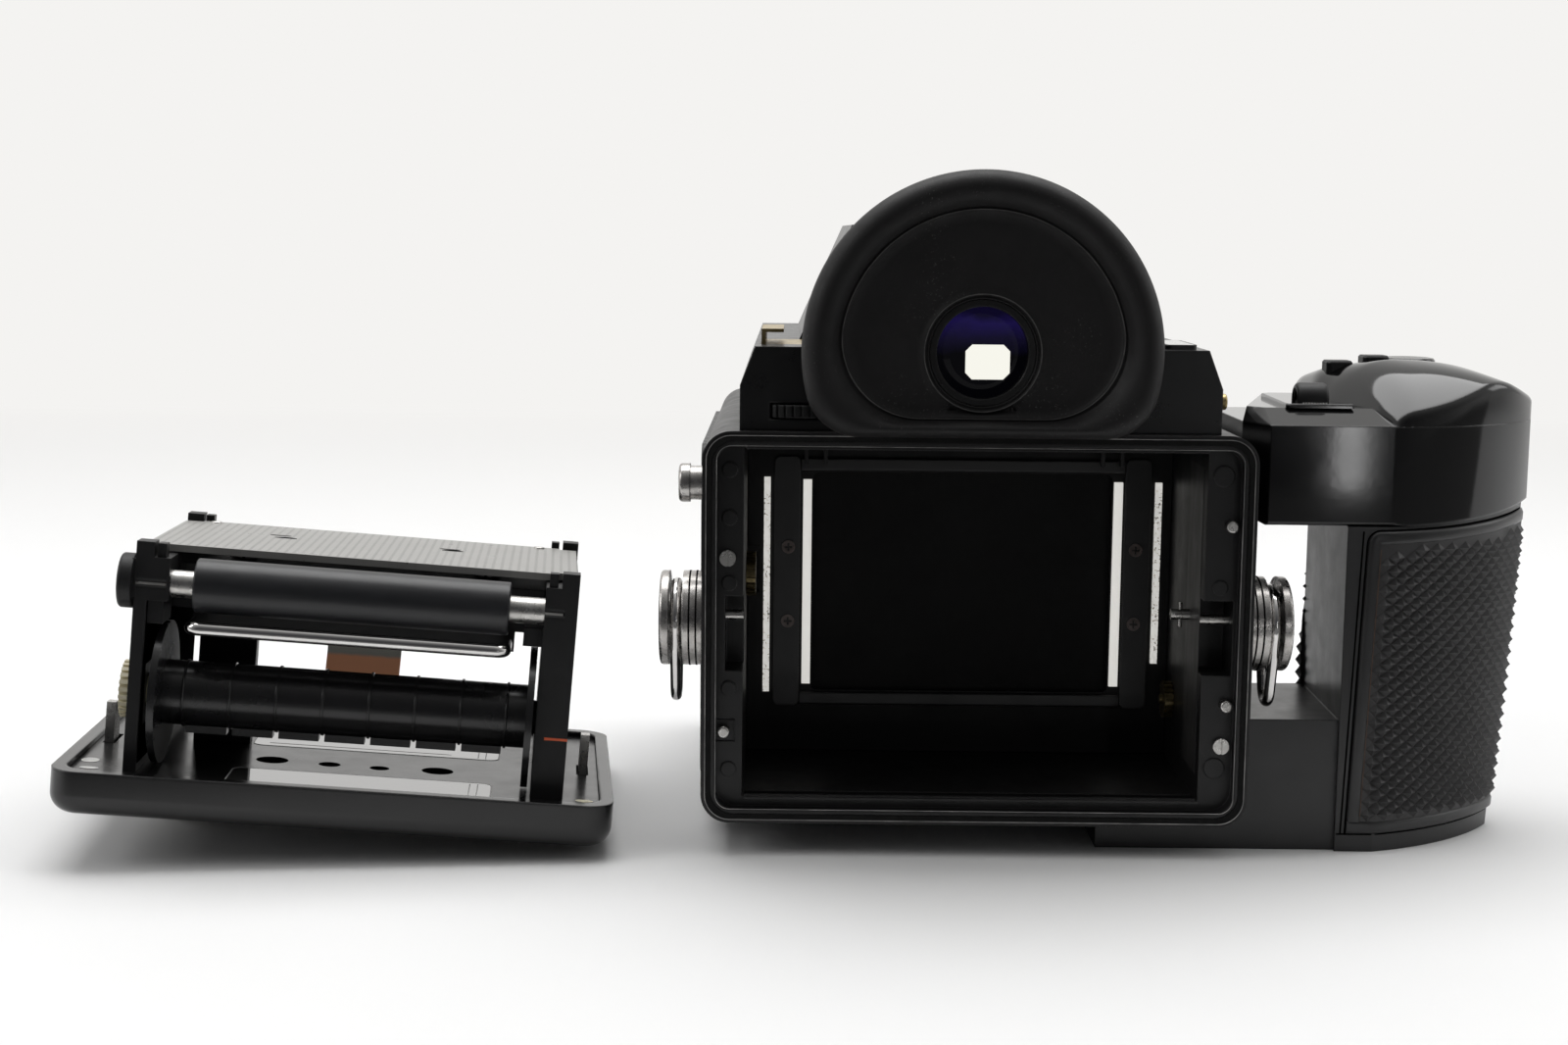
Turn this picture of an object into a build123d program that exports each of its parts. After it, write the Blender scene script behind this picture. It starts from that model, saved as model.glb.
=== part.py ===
from build123d import *
from math import asin, cos, hypot, radians, sin, sqrt
import os

os.makedirs("parts", exist_ok=True)

# Frame: X towards the grip, Y towards the subject, Z up, origin in the mouth of the tripod socket

# Clearances
running_gap = 0.06
slip_gap = 0.1
easy_gap = 0.3

# Stations along the lens axis
axis_height = 42.4
rim_y = -60.0
chamber_depth = 36.5
flange_distance = 70.87
film_y = rim_y + chamber_depth
flange_y = film_y + flange_distance

# Body
body_half_width = 47.4
body_front_y = 38.0
rim_bottom_z = 5.8
rim_above_axis = 31.7
rim_radius = 5.0
rim_wall = 2.3
rim_step = 3.0
seal_width = 0.9
seal_depth = 0.8
seal_proud = 0.25
rim_top_z = axis_height + rim_above_axis
rim_height = rim_top_z - rim_bottom_z
rim_middle_z = (rim_bottom_z + rim_top_z) / 2

# Film chamber
left_flange_width = 7.1
right_flange_width = 8.1
chamber_left = body_half_width - left_flange_width
chamber_right = body_half_width - right_flange_width
floor_thickness = 4.0
roof_thickness = 2.6
chamber_floor_z = rim_bottom_z + floor_thickness
chamber_roof_z = rim_top_z - roof_thickness
left_recess_wall = 4.0
right_recess_wall = 3.0
recess_left = body_half_width - left_recess_wall
recess_right = body_half_width - right_recess_wall
recess_below_axis = 10.3
recess_bottom_z = axis_height - recess_below_axis
recess_height = 13.1
recess_depth = 8.0
catch_pin_below_axis = 1.1
catch_pin_z = axis_height - catch_pin_below_axis
catch_pin_radius = 0.9
catch_pin_inset = 4.0

# Film gate
gate_width = 56.0
gate_height = 41.5
gate_thickness = 1.2
rail_height = 1.0
rail_length = 38.8
gate_corner = 1.0
inner_rail_width = 1.6
inner_rail_gap = 0.3
inner_rail_x = gate_width / 2 + inner_rail_gap + inner_rail_width / 2
outer_rail_width = 1.2
outer_rail_share = 0.7
outer_rail_left_length = 40.8
outer_rail_left_drop = 0.6
outer_rail_right_length = 34.3
side_plate_gap = 0.5
side_plate_inner = inner_rail_x + inner_rail_width / 2 + side_plate_gap
side_room = chamber_right - side_plate_inner
outer_rail_x = side_plate_inner + outer_rail_share * side_room
side_plate_share = 0.55
side_plate_width = side_plate_share * side_room
side_plate_outer = side_plate_inner + side_plate_width
side_plate_length = 47.4
side_plate_thickness = 0.6
side_plate_round_share = 0.24
gate_screw_place_share = 0.45
gate_screw_x = side_plate_inner + gate_screw_place_share * side_plate_width
gate_screw_spread = 14.1
gate_screw_drop = 0.4
gate_screw_radius = 1.25
gate_screw_height = 0.35
cross_slot_width = 0.35
cross_slot_share = 0.6
guide_bar_width = 2.4
guide_bar_height = 0.8
guide_bar_spread = 44.6
gate_face_y = film_y + rail_height
gate_back_y = gate_face_y + gate_thickness

# Shutter behind the gate
shutter_half_width = 34.0
shutter_above_floor = 4.0
shutter_below_roof = 2.0
shutter_bottom_z = chamber_floor_z + shutter_above_floor
shutter_top_z = chamber_roof_z - shutter_below_roof
shutter_depth = 3.8
curtain_thickness = 0.3
curtain_gap = 0.5
curtain_inset = 3.0
curtain_roller_radius = 1.1
light_wall = 2.1
light_step = 1.0

# Mirror box
box_half_width = 31.9
box_wall = 1.2
box_bottom_z = 10.1
box_above_rim = 3.4
box_top_z = rim_top_z + box_above_rim
box_front_y = 36.0
box_back_y = gate_back_y + shutter_depth + light_wall
mirror_width = 54.0
mirror_length = 47.5
mirror_thickness = 1.8
holder_thickness = 1.2
mirror_angle = 45.0
mirror_rod_radius = 1.0
mirror_rod_gap = 0.8
mirror_rod_y = box_back_y + box_wall + mirror_rod_radius + mirror_rod_gap
mirror_rod_below_rim = 2.9
mirror_rod_z = rim_top_z - mirror_rod_below_rim
mirror_edge = 0.5
mirror_near_edge = 2.25
screen_thickness = 2.0
screen_top_z = box_top_z + screen_thickness

# Lens mount
throat_radius = 30.0
mount_groove_radius = 32.4
mount_radius = 37.0
mount_ring_height = 3.97
mount_boss_radius = 39.5
mount_tabs = 3
mount_tab_width = 16.0
mount_tab_thickness = 1.2
mount_seat_thickness = 1.4
mount_screws_count = 5
mount_screw_circle = 34.5
mount_screw_radius = 1.25
mount_screw_depth = 0.8
mount_screw_slot = 0.3
mount_screw_angle = 54.0
front_plate_y = flange_y - mount_ring_height
release_inset = 5.9
release_x = release_inset - body_half_width
release_z = 20.0
release_round = 0.6
release_radius = 4.2
release_proud = 3.2
release_travel = 2.0

# Finder housing
housing_wall = 1.8
housing_rear_y = -58.0
housing_half_width = 41.1
shoulder_above_rim = 7.7
shoulder_z = rim_top_z + shoulder_above_rim
deck_above_rim = 14.3
deck_z = rim_top_z + deck_above_rim
deck_half_width = 38.6
hump_half_bottom = 31.0
hump_half_top = 22.4
hump_height = 20.6
hump_top_z = deck_z + hump_height
hump_slope_y = 14.0
hump_front_height = 3.1
hump_front_z = deck_z + hump_front_height

# Pentaprism
prism_half_width = 26.0
prism_rear_y = -12.0
prism_front_y = 33.0
prism_front_height = 7.0
prism_front_z = screen_top_z + prism_front_height
prism_side_height = 10.5
prism_side_z = screen_top_z + prism_side_height
prism_roof_half = 11.0
prism_height = 26.1
prism_top_z = screen_top_z + prism_height
prism_ridge_rear_y = -4.0
prism_ridge_front_y = 11.0
prism_rear_height = 18.5
prism_rear_z = screen_top_z + prism_rear_height

# Eyepiece
eye_x = -0.8
eye_above_rim = 14.1
eye_z = rim_top_z + eye_above_rim
eyepiece_plate_width = 40.0
eyepiece_plate_height = 22.0
eyepiece_plate_thickness = 2.0
eyepiece_plate_corner = 3.0
eyepiece_tube_radius = 8.8
eyepiece_bore_radius = 7.6
eyepiece_rear_y = -68.6
eyepiece_spigot_radius = 10.0
eyepiece_spigot_depth = 6.0
lens_rear_y = -66.4
lens_thickness = 3.0
lens_dome_radius = 26.0
finder_tube_radius = 8.5
eyecup_radius = 29.95
eyecup_above_rim = 0.0
eyecup_bottom_z = rim_top_z + eyecup_above_rim
eyecup_corner = 9.0
eyecup_root_y = -60.0
eyecup_rim_y = -72.0
eyecup_rim_depth = 5.5
eyecup_root_inset = 7.0
eyecup_lip = 5.8
eyecup_low_lip = 3.0
eyecup_inner_corner = 13.0
eyecup_hollow = 3.4
eyecup_round = 2.4
eyecup_inner_round = 1.2

# Top deck
shoe_width = 20.2
shoe_inner_width = 18.7
shoe_throat = 12.5
shoe_length = 18.0
shoe_inset = 11.1
shoe_x = shoe_inset - deck_half_width
shoe_rear_y = -50.0
shoe_base = 0.6
shoe_gap = 2.05
shoe_lip = 0.6
shoe_notch_height = 9.0
shoe_notch_width = 21.2
dial_radius = 9.0
dial_thickness = 2.2
dial_above_rim = 2.2
dial_bottom_z = rim_top_z + dial_above_rim
dial_inset = 10.5
dial_x = dial_inset - housing_half_width
dial_proud = 1.3
dial_teeth = 40
dial_tooth = 0.35
lcd_inset = 4.6
lcd_x = deck_half_width - lcd_inset
lcd_width = 5.4
lcd_length = 17.0
lcd_rear_y = -57.0
lcd_height = 0.9
lcd_border = 0.5
lcd_glass = 0.5
lcd_corner = 1.0
side_button_y = -52.0
side_button_above_rim = 5.2
side_button_z = rim_top_z + side_button_above_rim
side_button_round = 0.4
side_button_radius = 1.4
side_button_proud = 1.8
side_button_travel = 1.0

# Grip
grip_inner_x = 64.5
grip_rear_y = -53.5
grip_front_y = -13.0
grip_gap_front_x = 65.5
grip_gap_front_y = -20.0
grip_outer_x = 101.7
grip_outer_y = -34.0
grip_corner_x = 72.0
grip_rear_bulge_x = 91.0
grip_rear_bulge_y = -45.7
grip_front_bulge_x = 97.4
grip_front_bulge_y = -17.5
grip_nose_x = 86.0
grip_nose_y = -8.5
grip_base_share = 0.88
grip_step = 1.0
bridge_height = 23.5
head_bottom_z = 57.9
head_bottom_slope = 0.16
head_top_z = 75.4
head_rear_x = 50.5
head_corner = 9.0
head_edge_round = 0.8
foot_left_x = 22.3
foot_height = 5.7
foot_front_y = 24.0
pad_thickness = 1.4
pad_bottom_z = 5.5
pad_top_z = 55.0
pad_top_slope = 0.1
pad_rear_x = 70.3
pad_rear_lean = 1.9
hump_left_x = 62.5
hump_rise_run = 0.8
hump_rise_height = 4.0
hump_shoulder_run = 5.2
hump_shoulder_drop = 1.3
hump_crest_z = 86.9
hump_crest_x = 76.0
hump_flank_x = 90.2
hump_flank_z = 83.9
hump_end_z = 79.2
hump_side_height = 1.6
hump_bulge_y = -45.0
hump_bulge_drop = 4.2
hump_ridge_y = -35.0
hump_front_drop = 5.0
hump_waist_x = 71.5
hump_waist_y = -46.5
hump_open_y = -33.0
grip_top_front_y = -14.0
switch_plate_thickness = 2.6
switch_plate_rear_y = -46.5
switch_plate_front_y = -14.0
switch_plate_tip_x = 48.2
switch_plate_tip_y = -43.5
switch_plate_far_x = 57.0
switch_plate_right_x = 71.0
switch_x = 59.5
switch_y = -43.0
switch_width = 5.6
switch_depth = 6.0
switch_height = 4.2
switch_corner = 1.0
switch_round = 0.8
switch_travel = 2.0
shutter_button_x = 82.0
shutter_button_y = -22.0
shutter_button_radius = 5.2
shutter_button_proud = 1.0
shutter_button_round = 0.8
shutter_button_travel = 1.0
step_button_x = 68.0
step_button_pitch = 6.6
step_button_y = -27.0
step_button_radius = 2.4
step_button_proud = 0.6
step_button_round = 0.6
step_button_travel = 0.8
button_seat_depth = 4.0

# Base plate and tripod socket
base_inset = 9.4
base_left_x = base_inset - body_half_width
base_half_depth = 34.0
base_corner = 3.0
base_round = 1.2
tripod_radius = 3.175
tripod_sleeve_radius = 7.0

# Strap lugs
lug_y = -50.0
lug_z = 40.2
lug_disc_radius = 8.3
lug_base_thickness = 3.5
lug_hub_radius = 5.1
lug_slot = 2.4
lug_cap_thickness = 1.6
lug_wire_radius = 0.95
lug_tip_radius = 3.0
lug_ring_drop = 13.9
lug_round = 0.6

# Flash sync terminal
sync_y = -50.0
sync_z = 64.1
sync_neck_radius = 3.0
sync_neck_length = 2.4
sync_cap_radius = 3.4
sync_cap_length = 2.0
sync_cap_round = 0.7

# Leather cloth on the body's side
cloth_thickness = 0.8
cloth_rear_y = -43.0
cloth_front_y = 34.0
cloth_bottom_z = 10.0
cloth_top_z = 70.0
cloth_corner = 3.0

# Small parts in the chamber
plug_radius = 1.3
plug_height = 0.4
left_plug_inset = 4.7
left_flange_x = left_plug_inset - body_half_width
left_plug_rises = (24.8, 16.5, 5.1, -13.4, -27.7)
right_plug_inset = 5.4
right_flange_x = body_half_width - right_plug_inset
right_large_plug_radius = 1.8
right_plug_rises = (24.5, -26.7)
right_small_plug_rise = 5.1
slot_screw_radius = 1.4
slot_screw_height = 0.9
slot_screw_groove = 0.4
slot_screw_inset = 4.4
left_screw_x = slot_screw_inset - body_half_width
left_screw_rise = 9.5
left_screw_z = axis_height + left_screw_rise
right_screw_x = body_half_width - slot_screw_inset
right_screw_drop = 22.7
right_screw_z = axis_height - right_screw_drop
locating_pin_radius = 1.1
locating_pin_height = 1.6
locating_pin_round = 0.4
locating_pin_inset = 3.8
locating_pin_x = body_half_width - locating_pin_inset
right_pin_rises = (15.9, -15.5)
left_pin_drop = 20.9
advance_gear_radius = 4.1
advance_gear_teeth = 20
advance_gear_width = 1.8
advance_gear_rise = 2.3
advance_gear_z = axis_height + advance_gear_rise
advance_gear_y = -27.9
advance_gear_reach = 1.7
counter_gear_radius = 3.45
counter_gear_teeth = 18
counter_gear_width = 1.6
counter_gear_drop = 20.6
counter_gear_z = axis_height - counter_gear_drop
counter_gear_y = -28.5
counter_axle_radius = 0.8
counter_axle_reach = 3.0
counter_axle_end = 0.6
gear_tooth_depth = 0.55
coupling_y = -44.0
coupling_drop = 1.8
coupling_z = axis_height - coupling_drop
coupling_radius = 1.0
coupling_reach = 3.4
coupling_cross_radius = 0.4
coupling_cross_length = 4.4

# Film back lying on the table
back_x = -112.5
back_y = -36.3
back_yaw = 6.07
back_lean = 4.63
back_nod = -2.58
back_depth = 7.7
back_round = 3.5
back_ledge_depth = 1.8
back_ledge_width = 1.0
back_hollow = 5.8
back_plate_thickness = 0.8
plate_hole_places = ((-13.3, -9.5, 2.85), (-3.1, -10.0, 1.95), (5.8, -10.4, 1.75), (16.1, -9.5, 2.85))
key_inset = 20.4
key_x = key_inset - body_half_width
key_y = 4.0
key_radius = 11.0
key_blade_share = 0.45
key_hollow_share = 0.8
key_slot_width = 1.6

# Film insert on the back
insert_left_gap = 4.0
insert_left = chamber_left - insert_left_gap
insert_left_wall = 2.2
insert_right_gap = 0.7
insert_right_outer = chamber_right - insert_right_gap
insert_right_width = 5.7
insert_right_inner = insert_right_outer - insert_right_width
insert_near = 26.5
insert_far = 28.5
insert_top = 36.0
arm_bottom = 28.6
arm_width = 5.7
arm_length = 10.0
arm_inner_left = insert_left - arm_width
bridge_near = 15.0
bridge_far = 17.0
bridge_bottom = 26.2
bridge_top = 34.0
skirt_bottom = 22.6
skirt_half = 28.0
skirt_thickness = 3.0
corner_tab_width = 3.0
corner_tab_depth = 4.0
corner_tab_height = 2.6
roller_radius = 4.65
roller_shaft_radius = 2.35
roller_round = 0.4
roller_left_room = 9.9
roller_left = insert_left - roller_left_room
roller_right_room = 6.0
roller_right = insert_right_inner - roller_right_room
roller_z = 31.5
near_roller_y = -24.1
far_roller_y = 25.9
knob_radius = 4.7
knob_length = 2.4
knob_round = 0.6
spool_end_gap = 0.6
spool_half_length = insert_right_inner - spool_end_gap
spool_flange_radius = 12.4
spool_flange_thickness = 1.2
spool_core_radius = 5.6
spool_bore_radius = 3.0
spool_slot_width = 1.6
spool_y = -18.4
spool_z = 11.8
spool_key_length = 4.0
spool_gear_radius = 5.0
spool_gear_teeth = 24
spool_gear_width = 1.8
film_axis_shift = 2.3
plate_left = insert_left - easy_gap
plate_right_gap = 0.4
plate_right = insert_right_outer - plate_right_gap
plate_depth = 41.4
plate_thickness = 1.2
plate_rest_height = 37.5
plate_travel = 0.8
plate_notch = 3.2
plate_slot_length = 4.0
plate_slot_width = 1.4
plate_slot_places = ((-16.6, 8.0), (14.6, 7.0))
plate_post_radius = 2.2
plate_post_places = ((-22.0, 0.0), (22.0, 0.0))
guide_wire_radius = 1.2
guide_wire_inset = 0.4
guide_wire_half = roller_right - guide_wire_inset
guide_wire_y = -27.2
guide_wire_z = 24.5
guide_wire_bend = 1.6
leaf_left = -6.6
leaf_right = 7.0
leaf_thickness = 0.4
leaf_bend_y = 2.0
leaf_bend_drop = 9.4
leaf_bottom = 12.3
leaf_y = 6.0
wall_block_left = -29.4
wall_block_right = -19.1
wall_block_y = 4.0
wall_block_thickness = 3.0
prong_left_inset = 4.4
prong_left_x = prong_left_inset - body_half_width
prong_right_inset = 5.1
prong_right_x = body_half_width - prong_right_inset
prong_thickness = 1.6
prong_bar_thickness = 1.2
prong_width = 5.0
prong_height = 6.4
prong_y = -1.6
prong_hook = 2.0
prong_travel = 3.0


def from_rear(y):
    """A plane across the lens axis, drawn as seen from behind the camera."""
    return Plane.XZ.offset(-y)


def from_side(x):
    """A plane along the lens axis, with Y to the right and Z up."""
    return Plane.YZ.offset(x)


def rim_face(inset):
    """The outline of the body's rear rim and of its cover, drawn in by a wall, centred on the origin."""
    with BuildSketch() as face:
        RectangleRounded(2 * (body_half_width - inset), rim_height - 2 * inset, rim_radius - inset / 2)
    return face.sketch


def gear_disc(radius, teeth, depth, width):
    """A small spur gear about Z, from z = 0 upwards."""
    with BuildPart() as gear:
        with BuildSketch():
            Circle(radius)
            with PolarLocations(radius, teeth):
                Rectangle(2 * depth, radius * 3.0 / teeth, mode=Mode.SUBTRACT)
        extrude(amount=width)
    return gear.part


# Body casting with the film chamber, the plugs on its flanges, the shutter pocket and the mirror well
flange_step_y = rim_y + rim_step
with BuildPart() as body_casting:
    with BuildSketch(from_rear(rim_y)):
        with Locations((0, rim_middle_z)):
            add(rim_face(0))
    extrude(amount=-(body_front_y - rim_y))
    with BuildSketch(from_rear(rim_y)):
        with Locations((0, rim_middle_z)):
            add(rim_face(rim_wall))
    extrude(amount=-rim_step, mode=Mode.SUBTRACT)
    with BuildSketch(from_rear(rim_y)):
        with Locations((0, rim_middle_z)):
            add(rim_face((rim_wall - seal_width) / 2))
            add(rim_face((rim_wall + seal_width) / 2), mode=Mode.SUBTRACT)
    extrude(amount=-seal_depth, mode=Mode.SUBTRACT)
    with BuildSketch(from_rear(rim_y)):
        with Locations(((chamber_right - chamber_left) / 2, (chamber_floor_z + chamber_roof_z) / 2)):
            Rectangle(chamber_left + chamber_right, chamber_roof_z - chamber_floor_z)
    extrude(amount=-(gate_back_y - rim_y), mode=Mode.SUBTRACT)
    with BuildSketch(from_rear(gate_back_y)):
        with Locations((0, (shutter_bottom_z + shutter_top_z) / 2)):
            Rectangle(2 * shutter_half_width, shutter_top_z - shutter_bottom_z)
    extrude(amount=-shutter_depth, mode=Mode.SUBTRACT)
    with BuildSketch(from_rear(gate_back_y + shutter_depth)):
        with Locations((0, axis_height)):
            Rectangle(gate_width + 2 * light_step, gate_height + 2 * light_step)
    extrude(amount=-light_wall, mode=Mode.SUBTRACT)
    with BuildSketch(from_rear(box_back_y)):
        with Locations((0, (box_bottom_z + rim_top_z) / 2)):
            Rectangle(2 * box_half_width, rim_top_z - box_bottom_z)
    extrude(amount=-(body_front_y - box_back_y), mode=Mode.SUBTRACT)
    with BuildSketch(from_rear(rim_y + rim_step)):
        with Locations(((recess_right - recess_left) / 2, recess_bottom_z + recess_height / 2)):
            Rectangle(recess_right + recess_left, recess_height)
    extrude(amount=-recess_depth, mode=Mode.SUBTRACT)
    with BuildSketch(from_side(-chamber_left)):
        with Locations((advance_gear_y, advance_gear_z)):
            Circle(advance_gear_radius + easy_gap)
    extrude(amount=-advance_gear_width, mode=Mode.SUBTRACT)
    with BuildSketch(from_side(chamber_right)):
        with Locations((counter_gear_y, counter_gear_z)):
            Circle(counter_axle_radius + running_gap)
        with Locations((coupling_y, coupling_z)):
            Circle(coupling_radius + running_gap)
    extrude(amount=counter_axle_reach, mode=Mode.SUBTRACT)
    with BuildSketch(from_rear(flange_step_y)):
        for rise in left_plug_rises:
            with Locations((left_flange_x, axis_height + rise)):
                Circle(plug_radius)
        for rise in right_plug_rises:
            with Locations((right_flange_x, axis_height + rise)):
                Circle(right_large_plug_radius)
        with Locations((right_flange_x, axis_height + right_small_plug_rise)):
            Circle(plug_radius)
    extrude(amount=plug_height)
body_casting.part.label = "body_casting"
export_step(body_casting.part, "parts/body_casting.step")

# Light seal strip in the groove of the rim
with BuildPart() as light_seal:
    with BuildSketch(from_rear(rim_y - seal_proud)):
        with Locations((0, rim_middle_z)):
            add(rim_face((rim_wall - seal_width) / 2))
            add(rim_face((rim_wall + seal_width) / 2), mode=Mode.SUBTRACT)
    extrude(amount=-(seal_depth + seal_proud))
light_seal.part.label = "light_seal"
export_step(light_seal.part, "parts/light_seal.step")

# Film gate plate closing the front of the chamber
with BuildPart() as film_gate:
    with BuildSketch(from_rear(gate_face_y)):
        with Locations(((chamber_right - chamber_left) / 2, (chamber_floor_z + chamber_roof_z) / 2)):
            Rectangle(
                chamber_left + chamber_right - 2 * slip_gap,
                chamber_roof_z - chamber_floor_z - 2 * slip_gap,
            )
        with Locations((0, axis_height)):
            RectangleRounded(gate_width, gate_height, gate_corner, mode=Mode.SUBTRACT)
        with Locations((-chamber_left, advance_gear_z)):
            Rectangle(
                2 * (advance_gear_width + easy_gap + slip_gap),
                2 * (advance_gear_radius + easy_gap),
                mode=Mode.SUBTRACT,
            )
    extrude(amount=-gate_thickness)
film_gate.part.label = "film_gate"
export_step(film_gate.part, "parts/film_gate.step")

# Four polished film rails
with BuildPart() as film_rails:
    with BuildSketch(from_rear(film_y)):
        with Locations((-inner_rail_x, axis_height), (inner_rail_x, axis_height)):
            Rectangle(inner_rail_width, rail_length)
        with Locations((-outer_rail_x, axis_height - outer_rail_left_drop)):
            Rectangle(outer_rail_width, outer_rail_left_length)
        with Locations((outer_rail_x, axis_height + rail_length / 2 - outer_rail_right_length / 2)):
            Rectangle(outer_rail_width, outer_rail_right_length)
    extrude(amount=-rail_height)
film_rails.part.label = "film_rails"
export_step(film_rails.part, "parts/film_rails.step")

# Cross-headed screws of the side plates
with BuildPart() as gate_screws:
    with BuildSketch(from_rear(gate_face_y - side_plate_thickness)):
        with Locations((0, axis_height - gate_screw_drop)):
            with GridLocations(2 * gate_screw_x, gate_screw_spread, 2, 2):
                Circle(gate_screw_radius)
                Rectangle(2 * cross_slot_share * gate_screw_radius, cross_slot_width, mode=Mode.SUBTRACT)
                Rectangle(cross_slot_width, 2 * cross_slot_share * gate_screw_radius, mode=Mode.SUBTRACT)
    extrude(amount=gate_screw_height)
gate_screws.part.label = "gate_screws"
export_step(gate_screws.part, "parts/gate_screws.step")

# Side plates beside the gate and guide bars above and below it
with BuildPart() as film_guides:
    with BuildSketch(from_rear(gate_face_y)):
        with Locations((0, axis_height)):
            with GridLocations(1, guide_bar_spread, 1, 2):
                Rectangle(2 * (side_plate_inner - slip_gap), guide_bar_width)
    extrude(amount=guide_bar_height)
    fillet(film_guides.faces().sort_by(Axis.Y)[:2].edges().filter_by(Axis.X), guide_bar_height / 2)
    with BuildSketch(from_rear(gate_face_y)):
        for side in (-1, 1):
            with Locations((side * (side_plate_inner + side_plate_outer) / 2, axis_height)):
                RectangleRounded(side_plate_width, side_plate_length, side_plate_round_share * side_plate_width)
    extrude(amount=side_plate_thickness)
film_guides.part.label = "film_guides"
export_step(film_guides.part, "parts/film_guides.step")

# Shutter curtain and the two rollers that wind it
curtain_y = gate_back_y + curtain_gap
with BuildPart() as shutter_curtain:
    with BuildSketch(from_rear(curtain_y)):
        with Locations((0, (shutter_bottom_z + shutter_top_z) / 2)):
            Rectangle(2 * (shutter_half_width - curtain_inset), shutter_top_z - shutter_bottom_z - 2 * easy_gap)
    extrude(amount=-curtain_thickness)
    with BuildSketch(from_side(-shutter_half_width)):
        for roller_height in (shutter_bottom_z, shutter_top_z):
            inward = 1 if roller_height < axis_height else -1
            with Locations(
                (
                    curtain_y + curtain_thickness + slip_gap + curtain_roller_radius,
                    roller_height + inward * (curtain_roller_radius + slip_gap),
                )
            ):
                Circle(curtain_roller_radius)
    extrude(amount=2 * shutter_half_width)
shutter_curtain.part.label = "shutter_curtain"
export_step(shutter_curtain.part, "parts/shutter_curtain.step")

# Mirror box liner
with BuildPart() as mirror_box:
    with BuildSketch(from_rear(box_back_y)):
        with Locations((0, (box_bottom_z + box_top_z) / 2)):
            Rectangle(2 * (box_half_width - slip_gap), box_top_z - box_bottom_z)
    extrude(amount=-(box_front_y - box_back_y))
    with BuildSketch(from_rear(box_back_y + box_wall)):
        with Locations((0, (box_bottom_z + box_wall + box_top_z) / 2)):
            Rectangle(2 * (box_half_width - slip_gap - box_wall), box_top_z - box_bottom_z - box_wall)
    extrude(amount=-(box_front_y - box_back_y), mode=Mode.SUBTRACT)
    with BuildSketch(from_rear(box_back_y)):
        with Locations((0, axis_height)):
            Rectangle(gate_width + light_step, gate_height + light_step)
    extrude(amount=-box_wall, mode=Mode.SUBTRACT)
    with BuildSketch(from_side(-box_half_width)):
        with Locations((mirror_rod_y, mirror_rod_z)):
            Circle(mirror_rod_radius + running_gap)
    extrude(amount=2 * box_half_width, mode=Mode.SUBTRACT)
mirror_box.part.label = "mirror_box"
export_step(mirror_box.part, "parts/mirror_box.step")

# Reflex mirror on its holder, down at rest
mirror_plane = Plane(
    origin=(0, mirror_rod_y, mirror_rod_z),
    x_dir=(1, 0, 0),
    z_dir=(0, sin(radians(mirror_angle)), cos(radians(mirror_angle))),
)
with BuildPart() as mirror_holder:
    with BuildSketch(mirror_plane.offset(-holder_thickness / 2)):
        with Locations((0, mirror_length / 2)):
            Rectangle(mirror_width, mirror_length)
    extrude(amount=holder_thickness)
    with BuildSketch(from_side(-box_half_width + slip_gap)):
        with Locations((mirror_rod_y, mirror_rod_z)):
            Circle(mirror_rod_radius)
    extrude(amount=2 * (box_half_width - slip_gap))
mirror_holder.part.label = "mirror_holder"
export_step(mirror_holder.part, "parts/mirror_holder.step")

with BuildPart() as reflex_mirror:
    with BuildSketch(mirror_plane.offset(holder_thickness / 2)):
        with Locations((0, (mirror_length + mirror_near_edge - mirror_edge) / 2)):
            Rectangle(mirror_width - 2 * mirror_edge, mirror_length - mirror_near_edge - mirror_edge)
    extrude(amount=mirror_thickness)
reflex_mirror.part.label = "reflex_mirror"
export_step(reflex_mirror.part, "parts/reflex_mirror.step")

# Focusing screen on top of the mirror box
with BuildPart() as focusing_screen:
    with BuildSketch(Plane.XY.offset(box_top_z)):
        with Locations((0, (box_back_y + box_front_y) / 2)):
            Rectangle(2 * (box_half_width - slip_gap), box_front_y - box_back_y)
    extrude(amount=screen_thickness)
focusing_screen.part.label = "focusing_screen"
export_step(focusing_screen.part, "parts/focusing_screen.step")

# Pentaprism over the screen
with BuildPart() as pentaprism:
    with BuildSketch(from_side(-prism_half_width)):
        with BuildLine():
            Polyline(
                (prism_rear_y, screen_top_z),
                (prism_front_y, screen_top_z),
                (prism_front_y, prism_front_z),
                (prism_ridge_front_y, prism_top_z),
                (prism_ridge_rear_y, prism_top_z),
                (prism_rear_y, prism_rear_z),
                close=True,
            )
        make_face()
    extrude(amount=2 * prism_half_width)
    with BuildSketch(from_rear(prism_rear_y)):
        with BuildLine():
            Polyline(
                (-prism_half_width, screen_top_z),
                (-prism_half_width, prism_side_z),
                (-prism_roof_half, prism_top_z),
                (prism_roof_half, prism_top_z),
                (prism_half_width, prism_side_z),
                (prism_half_width, screen_top_z),
                close=True,
            )
        make_face()
    extrude(amount=-(prism_front_y - prism_rear_y), mode=Mode.INTERSECT)
pentaprism.part.label = "pentaprism"
export_step(pentaprism.part, "parts/pentaprism.step")


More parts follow.
